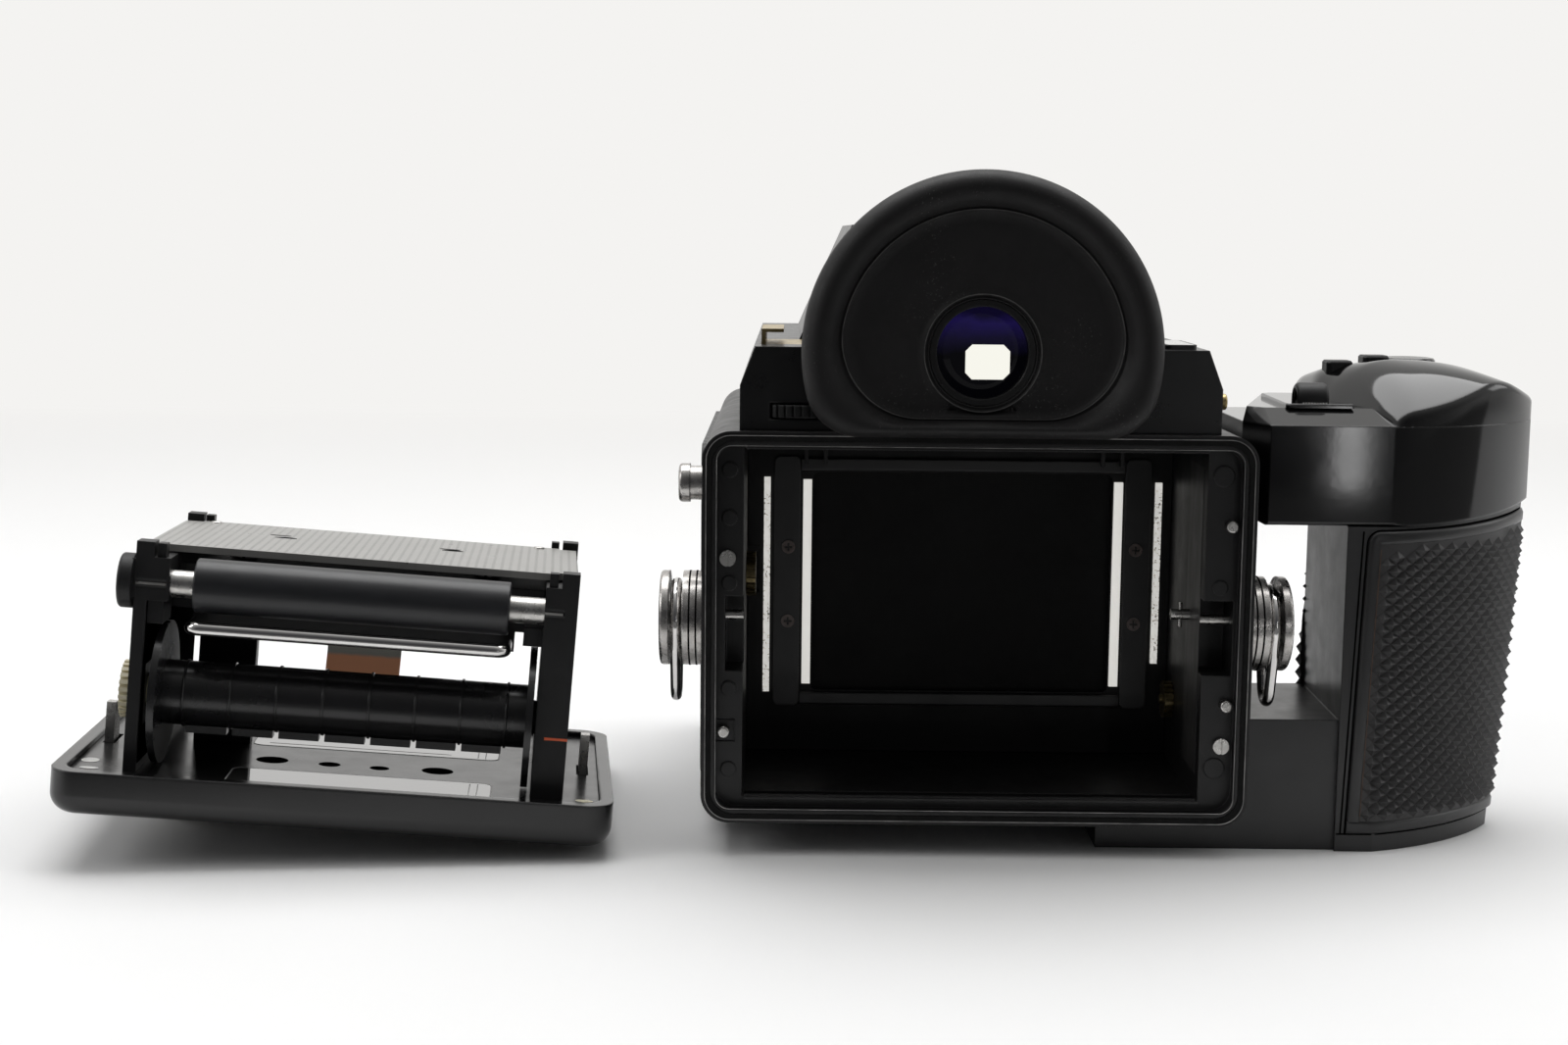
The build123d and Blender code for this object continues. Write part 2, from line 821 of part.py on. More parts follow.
def housing_block(wall):
    """The finder housing's outer shape, drawn in by a wall and open below."""
    with BuildPart() as block:
        with BuildSketch(from_rear(housing_rear_y + wall)):
            with BuildLine():
                Polyline(
                    (-housing_half_width + wall, rim_top_z),
                    (-housing_half_width + wall, shoulder_z - wall / 2),
                    (-deck_half_width + wall, deck_z - wall),
                    (-hump_half_bottom + wall, deck_z - wall),
                    (-hump_half_top + wall, hump_top_z - wall),
                    (hump_half_top - wall, hump_top_z - wall),
                    (hump_half_bottom - wall, deck_z - wall),
                    (deck_half_width - wall, deck_z - wall),
                    (housing_half_width - wall, shoulder_z - wall / 2),
                    (housing_half_width - wall, rim_top_z),
                    close=True,
                )
            make_face()
        extrude(amount=-(body_front_y - housing_rear_y - 2 * wall))
        with BuildSketch(from_side(-housing_half_width)):
            with BuildLine():
                Polyline(
                    (hump_slope_y - wall / 2, hump_top_z - wall),
                    (body_front_y - wall / 2, hump_front_z - wall),
                    (body_front_y, hump_top_z),
                    (hump_slope_y, hump_top_z),
                    close=True,
                )
            make_face()
        extrude(amount=2 * housing_half_width, mode=Mode.SUBTRACT)
    return block.part


def shoe_notch(wall):
    """The room for a flash foot beside the hump, grown by a wall."""
    with BuildPart() as notch:
        with BuildSketch(Plane.XY.offset(deck_z - wall)):
            with Locations((shoe_x, (housing_rear_y + shoe_rear_y + shoe_length) / 2)):
                Rectangle(shoe_notch_width + 2 * wall, shoe_rear_y + shoe_length - housing_rear_y + 2 * wall)
        extrude(amount=shoe_notch_height + 2 * wall)
    return notch.part


with BuildPart() as finder_cavity:
    add(housing_block(housing_wall))
    add(shoe_notch(housing_wall), mode=Mode.SUBTRACT)

# Finder housing over the mirror box, with the dial's slot, the eyepiece's seat and the display frame
dial_y = housing_rear_y - dial_proud + dial_radius
with BuildPart() as finder_housing:
    add(housing_block(0))
    add(shoe_notch(0), mode=Mode.SUBTRACT)
    add(finder_cavity.part, mode=Mode.SUBTRACT)
    with BuildSketch(from_rear(housing_rear_y)):
        with Locations((eye_x, eye_z)):
            Circle(eyepiece_spigot_radius + slip_gap)
    extrude(amount=-housing_wall, mode=Mode.SUBTRACT)
    with BuildSketch(Plane.XY.offset(dial_bottom_z - easy_gap)):
        with Locations((dial_x, dial_y)):
            Circle(dial_radius + easy_gap)
    extrude(amount=dial_thickness + 2 * easy_gap, mode=Mode.SUBTRACT)
    with BuildSketch(from_side(housing_half_width)):
        with Locations((side_button_y, side_button_z)):
            Circle(side_button_radius + running_gap)
    extrude(amount=-housing_wall, mode=Mode.SUBTRACT)
    with BuildSketch(Plane.XY.offset(deck_z)):
        with Locations((shoe_x, shoe_rear_y + shoe_length / 2)):
            Rectangle(shoe_width, shoe_length)
    extrude(amount=-shoe_base, mode=Mode.SUBTRACT)
    with BuildSketch(Plane.XY.offset(deck_z)):
        with Locations((lcd_x, lcd_rear_y + lcd_length / 2)):
            RectangleRounded(lcd_width, lcd_length, lcd_corner)
    extrude(amount=lcd_height)
    with BuildSketch(Plane.XY.offset(deck_z + lcd_height - lcd_glass)):
        with Locations((lcd_x, lcd_rear_y + lcd_length / 2)):
            Rectangle(lcd_width - 2 * lcd_border, lcd_length - 2 * lcd_border)
    extrude(amount=lcd_glass, mode=Mode.SUBTRACT)
finder_housing.part.label = "finder_housing"
export_step(finder_housing.part, "parts/finder_housing.step")

# Eyepiece tube reaching to the prism, with its lens
with BuildPart() as eyepiece_frame:
    with BuildSketch(from_rear(housing_rear_y - eyepiece_plate_thickness)):
        with Locations((eye_x, eye_z)):
            RectangleRounded(eyepiece_plate_width, eyepiece_plate_height, eyepiece_plate_corner)
    extrude(amount=-eyepiece_plate_thickness)
    with BuildSketch(from_rear(housing_rear_y)):
        with Locations((eye_x, eye_z)):
            Circle(eyepiece_spigot_radius)
    extrude(amount=-eyepiece_spigot_depth)
    with BuildSketch(from_rear(housing_rear_y + eyepiece_spigot_depth)):
        with Locations((eye_x, eye_z)):
            Circle(finder_tube_radius)
    extrude(amount=-(prism_rear_y - housing_rear_y - eyepiece_spigot_depth))
    with BuildSketch(from_rear(eyepiece_rear_y)):
        with Locations((eye_x, eye_z)):
            Circle(eyepiece_tube_radius)
    extrude(amount=-(housing_rear_y - eyepiece_rear_y))
    with BuildSketch(from_rear(eyepiece_rear_y)):
        with Locations((eye_x, eye_z)):
            Circle(eyepiece_bore_radius)
    extrude(amount=-(prism_rear_y - eyepiece_rear_y), mode=Mode.SUBTRACT)
eyepiece_frame.part.label = "eyepiece_frame"
export_step(eyepiece_frame.part, "parts/eyepiece_frame.step")

with BuildPart() as eyepiece_lens:
    with BuildSketch(from_rear(lens_rear_y)):
        with Locations((eye_x, eye_z)):
            Circle(eyepiece_bore_radius)
    extrude(amount=-lens_thickness)
    dome_sag = lens_dome_radius - sqrt(lens_dome_radius**2 - eyepiece_bore_radius**2)
    with Locations((eye_x, lens_rear_y - dome_sag + lens_dome_radius + dome_sag / 2, eye_z)):
        Sphere(lens_dome_radius, mode=Mode.INTERSECT)
eyepiece_lens.part.label = "eyepiece_lens"
export_step(eyepiece_lens.part, "parts/eyepiece_lens.step")


def eyecup_face(inset, low_inset, corner):
    """The eyecup's D outline in the rear view, drawn in round its arc and along its low edge."""
    with BuildSketch() as face:
        with Locations((eye_x, eye_z)):
            Circle(eyecup_radius - inset)
        with Locations((eye_x, eyecup_bottom_z + low_inset - eyecup_radius)):
            Rectangle(2 * eyecup_radius, 2 * eyecup_radius, mode=Mode.SUBTRACT)
        fillet(face.vertices(), corner)
    return face.sketch


# Rubber eyecup
with BuildPart() as eyecup:
    with BuildSketch(from_rear(eyecup_root_y)):
        add(eyecup_face(eyecup_root_inset, eyecup_root_inset, eyecup_corner - eyecup_root_inset / 2))
    with BuildSketch(from_rear(eyecup_rim_y + eyecup_rim_depth)):
        add(eyecup_face(0, 0, eyecup_corner))
    loft()
    with BuildSketch(from_rear(eyecup_rim_y)):
        add(eyecup_face(0, 0, eyecup_corner))
    extrude(amount=-eyecup_rim_depth)
    fillet(eyecup.faces().sort_by(Axis.Y)[0].edges(), eyecup_round)
    with BuildSketch(from_rear(eyecup_rim_y)):
        add(eyecup_face(eyecup_lip, eyecup_low_lip, eyecup_inner_corner))
    extrude(amount=-eyecup_hollow, mode=Mode.SUBTRACT)
    fillet(eyecup.faces().sort_by(Axis.Y)[0].inner_wires()[0].edges(), eyecup_inner_round)
    with BuildSketch(from_rear(eyecup_rim_y)):
        with Locations((eye_x, eye_z)):
            Circle(eyepiece_tube_radius + slip_gap)
    extrude(amount=-(eyecup_root_y - eyecup_rim_y), mode=Mode.SUBTRACT)
eyecup.part.label = "eyecup"
export_step(eyecup.part, "parts/eyecup.step")

# Flash shoe in its notch
with BuildPart() as hot_shoe:
    with BuildSketch(from_rear(shoe_rear_y)):
        with Locations((shoe_x, deck_z - shoe_base)):
            Rectangle(shoe_width, shoe_base + shoe_gap + shoe_lip, align=(Align.CENTER, Align.MIN))
        with Locations((shoe_x, deck_z)):
            Rectangle(shoe_inner_width, shoe_gap, align=(Align.CENTER, Align.MIN), mode=Mode.SUBTRACT)
            Rectangle(shoe_throat, shoe_gap + shoe_lip, align=(Align.CENTER, Align.MIN), mode=Mode.SUBTRACT)
    extrude(amount=-shoe_length)
hot_shoe.part.label = "hot_shoe"
export_step(hot_shoe.part, "parts/hot_shoe.step")

# Knurled dial in the housing's rear slot
with BuildPart() as drive_dial:
    with BuildSketch(Plane.XY.offset(dial_bottom_z)):
        with Locations((dial_x, dial_y)):
            Circle(dial_radius)
            with PolarLocations(dial_radius, dial_teeth):
                Rectangle(2 * dial_tooth, dial_tooth, mode=Mode.SUBTRACT)
    extrude(amount=dial_thickness)
drive_dial.part.label = "drive_dial"
export_step(drive_dial.part, "parts/drive_dial.step")

# Display window in the raised frame on the right of the deck
with BuildPart() as lcd_window:
    with BuildSketch(Plane.XY.offset(deck_z + lcd_height - lcd_glass)):
        with Locations((lcd_x, lcd_rear_y + lcd_length / 2)):
            Rectangle(lcd_width - 2 * lcd_border, lcd_length - 2 * lcd_border)
    extrude(amount=lcd_glass)
lcd_window.part.label = "lcd_window"
export_step(lcd_window.part, "parts/lcd_window.step")

# Small button on the housing's right side
with BuildPart() as side_button:
    with BuildSketch(from_side(housing_half_width - housing_wall - side_button_travel)):
        with Locations((side_button_y, side_button_z)):
            Circle(side_button_radius)
    extrude(amount=housing_wall + side_button_travel + side_button_proud)
    fillet(side_button.faces().sort_by(Axis.X)[-1].edges(), side_button_round)
side_button.part.label = "side_button"
export_step(side_button.part, "parts/side_button.step")

# Front plate round the lens mount
with BuildPart() as front_plate:
    with BuildSketch(from_rear(body_front_y)):
        with Locations((0, rim_middle_z)):
            add(rim_face(0))
        with Locations((0, axis_height)):
            Circle(mount_boss_radius)
            Circle(mount_groove_radius, mode=Mode.SUBTRACT)
        with Locations((release_x, release_z)):
            Circle(release_radius + running_gap, mode=Mode.SUBTRACT)
    extrude(amount=-(front_plate_y - body_front_y))
front_plate.part.label = "front_plate"
export_step(front_plate.part, "parts/front_plate.step")

# Bayonet ring: a seat behind, a groove for the lens's tabs, and the ring's own tabs at the front
with BuildPart() as lens_mount:
    with BuildSketch(from_rear(front_plate_y)):
        with Locations((0, axis_height)):
            Circle(mount_radius)
            Circle(throat_radius, mode=Mode.SUBTRACT)
    extrude(amount=-mount_seat_thickness)
    with BuildSketch(from_rear(front_plate_y)):
        with Locations((0, axis_height)):
            Circle(mount_radius)
            Circle(mount_groove_radius, mode=Mode.SUBTRACT)
    extrude(amount=-mount_ring_height)
    with BuildSketch(from_rear(flange_y)):
        with Locations((0, axis_height)):
            with PolarLocations(mount_groove_radius, mount_tabs, start_angle=90):
                Rectangle(2 * (mount_radius - mount_groove_radius), mount_tab_width)
            Circle(throat_radius, mode=Mode.SUBTRACT)
            Circle(mount_radius, mode=Mode.INTERSECT)
    extrude(amount=mount_tab_thickness)
    with BuildSketch(from_rear(flange_y)):
        with Locations((0, axis_height)):
            with PolarLocations(mount_screw_circle, mount_screws_count, start_angle=mount_screw_angle):
                Circle(mount_screw_radius)
    extrude(amount=mount_screw_depth, mode=Mode.SUBTRACT)
lens_mount.part.label = "lens_mount"
export_step(lens_mount.part, "parts/lens_mount.step")

with BuildPart() as mount_screws:
    with BuildSketch(from_rear(flange_y)):
        with Locations((0, axis_height)):
            with PolarLocations(mount_screw_circle, mount_screws_count, start_angle=mount_screw_angle):
                Circle(mount_screw_radius)
                Rectangle(mount_screw_radius, mount_screw_slot, mode=Mode.SUBTRACT)
                Rectangle(mount_screw_slot, mount_screw_radius, mode=Mode.SUBTRACT)
    extrude(amount=mount_screw_depth)
mount_screws.part.label = "mount_screws"
export_step(mount_screws.part, "parts/mount_screws.step")

# Lens release button
with BuildPart() as lens_release:
    with BuildSketch(from_rear(front_plate_y + release_proud)):
        with Locations((release_x, release_z)):
            Circle(release_radius)
    extrude(amount=release_proud + front_plate_y - body_front_y - release_travel - slip_gap)
    fillet(lens_release.faces().sort_by(Axis.Y)[-1].edges(), release_round)
lens_release.part.label = "lens_release"
export_step(lens_release.part, "parts/lens_release.step")


def grip_outline(share, spread=0):
    """The grip's outline from above, its outer side drawn in to a share of the full reach, then spread."""

    def place(x, y):
        return (
            grip_inner_x + (x - grip_inner_x) * share,
            grip_outer_y + (y - grip_outer_y) * (share if x > grip_corner_x else 1),
        )

    with BuildSketch() as outline:
        with BuildLine():
            start = (grip_inner_x, grip_rear_y)
            corner = (grip_inner_x + (grip_corner_x - grip_inner_x) * share, grip_rear_y)
            outer = place(grip_outer_x, grip_outer_y)
            nose = place(grip_nose_x, grip_nose_y)
            Line(start, corner)
            ThreePointArc(corner, place(grip_rear_bulge_x, grip_rear_bulge_y), outer)
            ThreePointArc(outer, place(grip_front_bulge_x, grip_front_bulge_y), nose)
            Line(nose, (grip_gap_front_x, grip_gap_front_y))
            Line((grip_gap_front_x, grip_gap_front_y), start)
        make_face()
        if spread:
            offset(amount=spread, kind=Kind.INTERSECTION)
    return outline.sketch


def below_slant(rear_z, slope):
    """A block that fills the room below a plane that rises from the grip's rear towards the front."""
    front_rise = slope * (foot_front_y - grip_rear_y)
    rear_rise = slope * grip_rear_y
    with BuildPart() as block:
        with BuildSketch(from_side(0)):
            with BuildLine():
                Polyline(
                    (2 * grip_rear_y, 0),
                    (foot_front_y, 0),
                    (foot_front_y, rear_z + front_rise),
                    (2 * grip_rear_y, rear_z + rear_rise),
                    close=True,
                )
            make_face()
        extrude(amount=2 * grip_outer_x)
    return block.part


def grip_column(spread=0):
    """The tapering column of the grip, from the table up to its head's slanting underside."""
    with BuildPart() as column:
        with BuildSketch(Plane.XY):
            add(grip_outline(grip_base_share, spread))
        with BuildSketch(Plane.XY.offset(head_top_z)):
            add(grip_outline(1, spread))
        loft()
        add(below_slant(head_bottom_z, head_bottom_slope), mode=Mode.INTERSECT)
    return column.part


# Grip column, the bridge below the hand gap and the foot
with BuildPart() as grip_body:
    add(grip_column())
    with BuildSketch(Plane.XY):
        with Locations(((body_half_width + grip_corner_x) / 2, (grip_rear_y + grip_gap_front_y) / 2)):
            Rectangle(grip_corner_x - body_half_width, grip_gap_front_y - grip_rear_y - 2 * grip_step)
    extrude(amount=bridge_height)
    with BuildSketch(Plane.XY):
        with Locations((foot_left_x, grip_rear_y + grip_step)):
            Rectangle(
                body_half_width - foot_left_x,
                foot_front_y - grip_rear_y - grip_step,
                align=(Align.MIN, Align.MIN),
            )
    extrude(amount=foot_height)
grip_body.part.label = "grip_body"
export_step(grip_body.part, "parts/grip_body.step")

# Rubber pad wrapped round the column, its rear edge leaning with the grip
with BuildPart() as grip_pad:
    add(grip_column(pad_thickness))
    add(grip_column(), mode=Mode.SUBTRACT)
    add(below_slant(pad_top_z, pad_top_slope), mode=Mode.INTERSECT)
    with BuildSketch(from_rear(2 * grip_rear_y)):
        with BuildLine():
            Polyline(
                (0, 0),
                (pad_rear_x - pad_rear_lean, 0),
                (pad_rear_x, pad_top_z),
                (pad_rear_x, head_top_z),
                (0, head_top_z),
                close=True,
            )
        make_face()
    extrude(amount=2 * grip_rear_y - grip_gap_front_y, mode=Mode.SUBTRACT)
    with BuildSketch(Plane.XY):
        Rectangle(4 * grip_outer_x, 4 * grip_outer_x)
    extrude(amount=pad_bottom_z, mode=Mode.SUBTRACT)
grip_pad.part.label = "grip_pad"
export_step(grip_pad.part, "parts/grip_pad.step")


def head_outline():
    """The grip head's outline from above, reaching from the body's side over the column."""
    with BuildSketch() as outline:
        add(grip_outline(1))
        with BuildLine():
            Polyline(
                (body_half_width, grip_rear_y + head_corner),
                (head_rear_x, grip_rear_y),
                (grip_corner_x, grip_rear_y),
                (grip_corner_x, grip_front_y),
                (body_half_width, grip_front_y),
                close=True,
            )
        make_face()
    return outline.sketch


def hump_foot():
    """The top cover's outline from above, waisted beside the switch plate."""
    with BuildSketch() as outline:
        add(head_outline())
        with BuildLine():
            Polyline(
                (grip_corner_x, grip_rear_y),
                (hump_waist_x, hump_waist_y),
                (hump_left_x, hump_open_y),
                (hump_left_x, grip_top_front_y),
                (grip_outer_x, grip_top_front_y),
                (grip_outer_x, grip_rear_y),
                close=True,
            )
        make_face(mode=Mode.INTERSECT)
    return outline.sketch


# Grip head over the hand gap, with the raised plate that slopes down to its rear edge
with BuildPart() as grip_head:
    with BuildSketch(Plane.XY.offset(head_bottom_z)):
        add(head_outline())
    extrude(amount=head_top_z - head_bottom_z)
    add(below_slant(head_bottom_z, head_bottom_slope), mode=Mode.SUBTRACT)
    fillet(grip_head.edges().filter_by(Axis.X).group_by(Axis.Z)[0].sort_by(Axis.Y)[0], head_edge_round)
    with BuildSketch(Plane.XY.offset(head_top_z)):
        with BuildLine():
            Polyline(
                (body_half_width, grip_rear_y + head_corner),
                (head_rear_x, grip_rear_y),
                (grip_corner_x, grip_rear_y),
                (switch_plate_right_x, switch_plate_front_y),
                (switch_plate_far_x, switch_plate_front_y),
                close=True,
            )
        make_face()
    with BuildSketch(Plane.XY.offset(head_top_z + switch_plate_thickness)):
        with BuildLine():
            Polyline(
                (switch_plate_tip_x, switch_plate_tip_y),
                (head_rear_x, switch_plate_rear_y),
                (switch_plate_right_x, switch_plate_rear_y),
                (switch_plate_right_x, switch_plate_front_y),
                (switch_plate_far_x, switch_plate_front_y),
                close=True,
            )
        make_face()
    loft(ruled=True)
    with BuildSketch(Plane.XY.offset(head_top_z)):
        add(hump_foot())
    extrude(amount=switch_plate_thickness, mode=Mode.SUBTRACT)
    with BuildSketch(Plane.XY.offset(head_top_z)):
        with Locations((shutter_button_x, shutter_button_y)):
            Circle(shutter_button_radius + running_gap)
        for step in (0, 1):
            with Locations((step_button_x + step * step_button_pitch, step_button_y)):
                Circle(step_button_radius + running_gap)
    extrude(amount=-button_seat_depth, mode=Mode.SUBTRACT)
grip_head.part.label = "grip_head"
export_step(grip_head.part, "parts/grip_head.step")


def hump_at(x):
    """The height of the top cover's crest line at a place along X."""
    if x <= hump_crest_x:
        return hump_crest_z
    return hump_crest_z - (x - hump_crest_x) * (hump_crest_z - hump_flank_z) / (hump_flank_x - hump_crest_x)


# Humped top cover of the grip
with BuildPart() as grip_top:
    with BuildSketch(from_rear(grip_rear_y)):
        with BuildLine():
            hump_start = (hump_left_x, head_top_z)
            hump_rise = (hump_left_x + hump_rise_run, head_top_z + hump_rise_height)
            hump_shoulder = (hump_left_x + hump_shoulder_run, hump_crest_z - hump_shoulder_drop)
            hump_crest = (hump_crest_x, hump_crest_z)
            hump_flank = (hump_flank_x, hump_flank_z)
            hump_end = (grip_outer_x, hump_end_z)
            Line(hump_start, hump_rise)
            Spline(hump_rise, hump_shoulder, hump_crest, hump_flank, hump_end, tangents=((0.3, 1), (1, -0.5)))
            Line(hump_end, (grip_outer_x, head_top_z))
            Line((grip_outer_x, head_top_z), hump_start)
        make_face()
    extrude(amount=-(grip_top_front_y - grip_rear_y))
    with BuildSketch(from_side(hump_left_x)):
        with BuildLine():
            hump_rear = (grip_rear_y, head_top_z + hump_side_height)
            hump_ridge = (hump_ridge_y, hump_crest_z)
            hump_front = (grip_top_front_y, hump_crest_z - hump_front_drop)
            Line((grip_rear_y, head_top_z), hump_rear)
            ThreePointArc(hump_rear, (hump_bulge_y, hump_crest_z - hump_bulge_drop), hump_ridge)
            Line(hump_ridge, hump_front)
            Line(hump_front, (grip_top_front_y, head_top_z))
            Line((grip_top_front_y, head_top_z), (grip_rear_y, head_top_z))
        make_face()
    extrude(amount=grip_outer_x - hump_left_x, mode=Mode.INTERSECT)
    with BuildSketch(Plane.XY.offset(head_top_z)):
        add(hump_foot())
    extrude(amount=hump_crest_z - head_top_z, mode=Mode.INTERSECT)
    with BuildSketch(Plane.XY.offset(head_top_z)):
        with Locations((shutter_button_x, shutter_button_y)):
            Circle(shutter_button_radius + running_gap)
        for step in (0, 1):
            with Locations((step_button_x + step * step_button_pitch, step_button_y)):
                Circle(step_button_radius + running_gap)
    extrude(amount=hump_crest_z - head_top_z, mode=Mode.SUBTRACT)
grip_top.part.label = "grip_top"
export_step(grip_top.part, "parts/grip_top.step")

# Shutter button and the two step buttons on the hump
shutter_button_base = head_top_z - button_seat_depth + shutter_button_travel + slip_gap
with BuildPart() as shutter_button:
    with BuildSketch(Plane.XY.offset(shutter_button_base)):
        with Locations((shutter_button_x, shutter_button_y)):
            Circle(shutter_button_radius)
    extrude(amount=hump_at(shutter_button_x) + shutter_button_proud - shutter_button_base)
    fillet(shutter_button.faces().sort_by(Axis.Z)[-1].edges(), shutter_button_round)
shutter_button.part.label = "shutter_button"
export_step(shutter_button.part, "parts/shutter_button.step")

step_button_base = head_top_z - button_seat_depth + step_button_travel + slip_gap
with BuildPart() as up_button:
    with BuildSketch(Plane.XY.offset(step_button_base)):
        with Locations((step_button_x, step_button_y)):
            Circle(step_button_radius)
    extrude(amount=hump_crest_z + step_button_proud - step_button_base)
    fillet(up_button.faces().sort_by(Axis.Z)[-1].edges(), step_button_round)
up_button.part.label = "up_button"
export_step(up_button.part, "parts/up_button.step")

with BuildPart() as down_button:
    with BuildSketch(Plane.XY.offset(step_button_base)):
        with Locations((step_button_x + step_button_pitch, step_button_y)):
            Circle(step_button_radius)
    extrude(amount=hump_crest_z + step_button_proud - step_button_base)
    fillet(down_button.faces().sort_by(Axis.Z)[-1].edges(), step_button_round)
down_button.part.label = "down_button"
export_step(down_button.part, "parts/down_button.step")

# Sliding main switch on the head's raised plate
with BuildPart() as main_switch:
    with BuildSketch(Plane.XY.offset(head_top_z + switch_plate_thickness)):
        with Locations((switch_x, switch_y)):
            RectangleRounded(switch_width, switch_depth, switch_corner)
    extrude(amount=switch_height)
    fillet(main_switch.faces().sort_by(Axis.Z)[-1].edges(), switch_round)
main_switch.part.label = "main_switch"
export_step(main_switch.part, "parts/main_switch.step")

# Base plate with the tripod socket's sleeve
with BuildPart() as base_plate:
    with BuildSketch(Plane.XY):
        with Locations(((base_left_x + foot_left_x) / 2, 0)):
            RectangleRounded(foot_left_x - base_left_x, 2 * base_half_depth, base_corner)
        Circle(tripod_sleeve_radius, mode=Mode.SUBTRACT)
    extrude(amount=rim_bottom_z)
    chamfer(base_plate.faces().sort_by(Axis.Z)[0].outer_wire().edges(), base_round)
base_plate.part.label = "base_plate"
export_step(base_plate.part, "parts/base_plate.step")

with BuildPart() as tripod_socket:
    with BuildSketch(Plane.XY):
        Circle(tripod_sleeve_radius)
        Circle(tripod_radius, mode=Mode.SUBTRACT)
    extrude(amount=rim_bottom_z)
tripod_socket.part.label = "tripod_socket"
export_step(tripod_socket.part, "parts/tripod_socket.step")


def both_sides(radius, start, length):
    """Two round discs on the lugs' common axis, one on each side of the body."""
    with BuildPart() as pair:
        with BuildSketch(from_side(start)):
            with Locations((lug_y, lug_z)):
                Circle(radius)
        extrude(amount=length)
        with BuildSketch(from_side(-start)):
            with Locations((lug_y, lug_z)):
                Circle(radius)
        extrude(amount=-length)
    return pair.part


# Strap lugs: a base disc, a hub and a cap disc outside the ring, on each side
lug_slot_start = body_half_width + lug_base_thickness
with BuildPart() as strap_lugs:
    add(both_sides(lug_disc_radius, body_half_width, lug_base_thickness))
    add(both_sides(lug_hub_radius, lug_slot_start, lug_slot))
    add(both_sides(lug_disc_radius, lug_slot_start + lug_slot, lug_cap_thickness))
    lug_ends = strap_lugs.faces().filter_by(Axis.X).sort_by(Axis.X)
    fillet(lug_ends[0].edges() + lug_ends[-1].edges(), lug_round)
strap_lugs.part.label = "strap_lugs"
export_step(strap_lugs.part, "parts/strap_lugs.step")


def strap_ring(x):
    """A wire loop round a lug's hub, narrowing to its tip below."""
    top = lug_hub_radius + running_gap + lug_wire_radius
    lean = asin((top - lug_tip_radius) / (lug_ring_drop - lug_tip_radius))
    centre = (lug_y, lug_z)
    tip = (lug_y, lug_z - lug_ring_drop + lug_tip_radius)
    with BuildPart() as ring:
        with BuildLine(from_side(x)) as path:
            near_top = (centre[0] - top * cos(lean), centre[1] - top * sin(lean))
            far_top = (centre[0] + top * cos(lean), centre[1] - top * sin(lean))
            near_tip = (tip[0] - lug_tip_radius * cos(lean), tip[1] - lug_tip_radius * sin(lean))
            far_tip = (tip[0] + lug_tip_radius * cos(lean), tip[1] - lug_tip_radius * sin(lean))
            ThreePointArc(near_top, (centre[0], centre[1] + top), far_top)
            Line(far_top, far_tip)
            ThreePointArc(far_tip, (tip[0], tip[1] - lug_tip_radius), near_tip)
            Line(near_tip, near_top)
        with BuildSketch(Plane(origin=path.line @ 0, z_dir=path.line % 0)):
            Circle(lug_wire_radius)
        sweep()
    return ring.part


with BuildPart() as strap_ring_left:
    add(strap_ring(-lug_slot_start - lug_slot / 2))
strap_ring_left.part.label = "strap_ring_left"
export_step(strap_ring_left.part, "parts/strap_ring_left.step")

with BuildPart() as strap_ring_right:
    add(strap_ring(lug_slot_start + lug_slot / 2))
strap_ring_right.part.label = "strap_ring_right"
export_step(strap_ring_right.part, "parts/strap_ring_right.step")

# Flash sync terminal with its cap on the left side
with BuildPart() as sync_terminal:
    with BuildSketch(from_side(-body_half_width)):
        with Locations((sync_y, sync_z)):
            Circle(sync_neck_radius)
    extrude(amount=-sync_neck_length)
    with BuildSketch(from_side(-body_half_width - sync_neck_length)):
        with Locations((sync_y, sync_z)):
            Circle(sync_cap_radius)
    extrude(amount=-sync_cap_length)
    fillet(sync_terminal.faces().sort_by(Axis.X)[0].edges(), sync_cap_round)
sync_terminal.part.label = "sync_terminal"
export_step(sync_terminal.part, "parts/sync_terminal.step")

# Leather cloth on the left side
with BuildPart() as side_cloth:
    with BuildSketch(from_side(-body_half_width)):
        with Locations(((cloth_rear_y + cloth_front_y) / 2, (cloth_bottom_z + cloth_top_z) / 2)):
            RectangleRounded(cloth_front_y - cloth_rear_y, cloth_top_z - cloth_bottom_z, cloth_corner)
        with Locations((lug_y, lug_z)):
            Circle(lug_disc_radius + easy_gap, mode=Mode.SUBTRACT)
    extrude(amount=-cloth_thickness)
side_cloth.part.label = "side_cloth"
export_step(side_cloth.part, "parts/side_cloth.step")

# Screws and pins on the chamber's flanges
with BuildPart() as chamber_screws:
    with BuildSketch(from_rear(flange_step_y)):
        for place in ((left_screw_x, left_screw_z), (right_screw_x, right_screw_z)):
            with Locations(place):
                Circle(slot_screw_radius)
    extrude(amount=slot_screw_height)
    with BuildSketch(from_rear(flange_step_y - slot_screw_height)):
        for place in ((left_screw_x, left_screw_z), (right_screw_x, right_screw_z)):
            with Locations(place):
                Rectangle(slot_screw_groove, 2 * slot_screw_radius)
    extrude(amount=-slot_screw_height / 2, mode=Mode.SUBTRACT)
chamber_screws.part.label = "chamber_screws"
export_step(chamber_screws.part, "parts/chamber_screws.step")

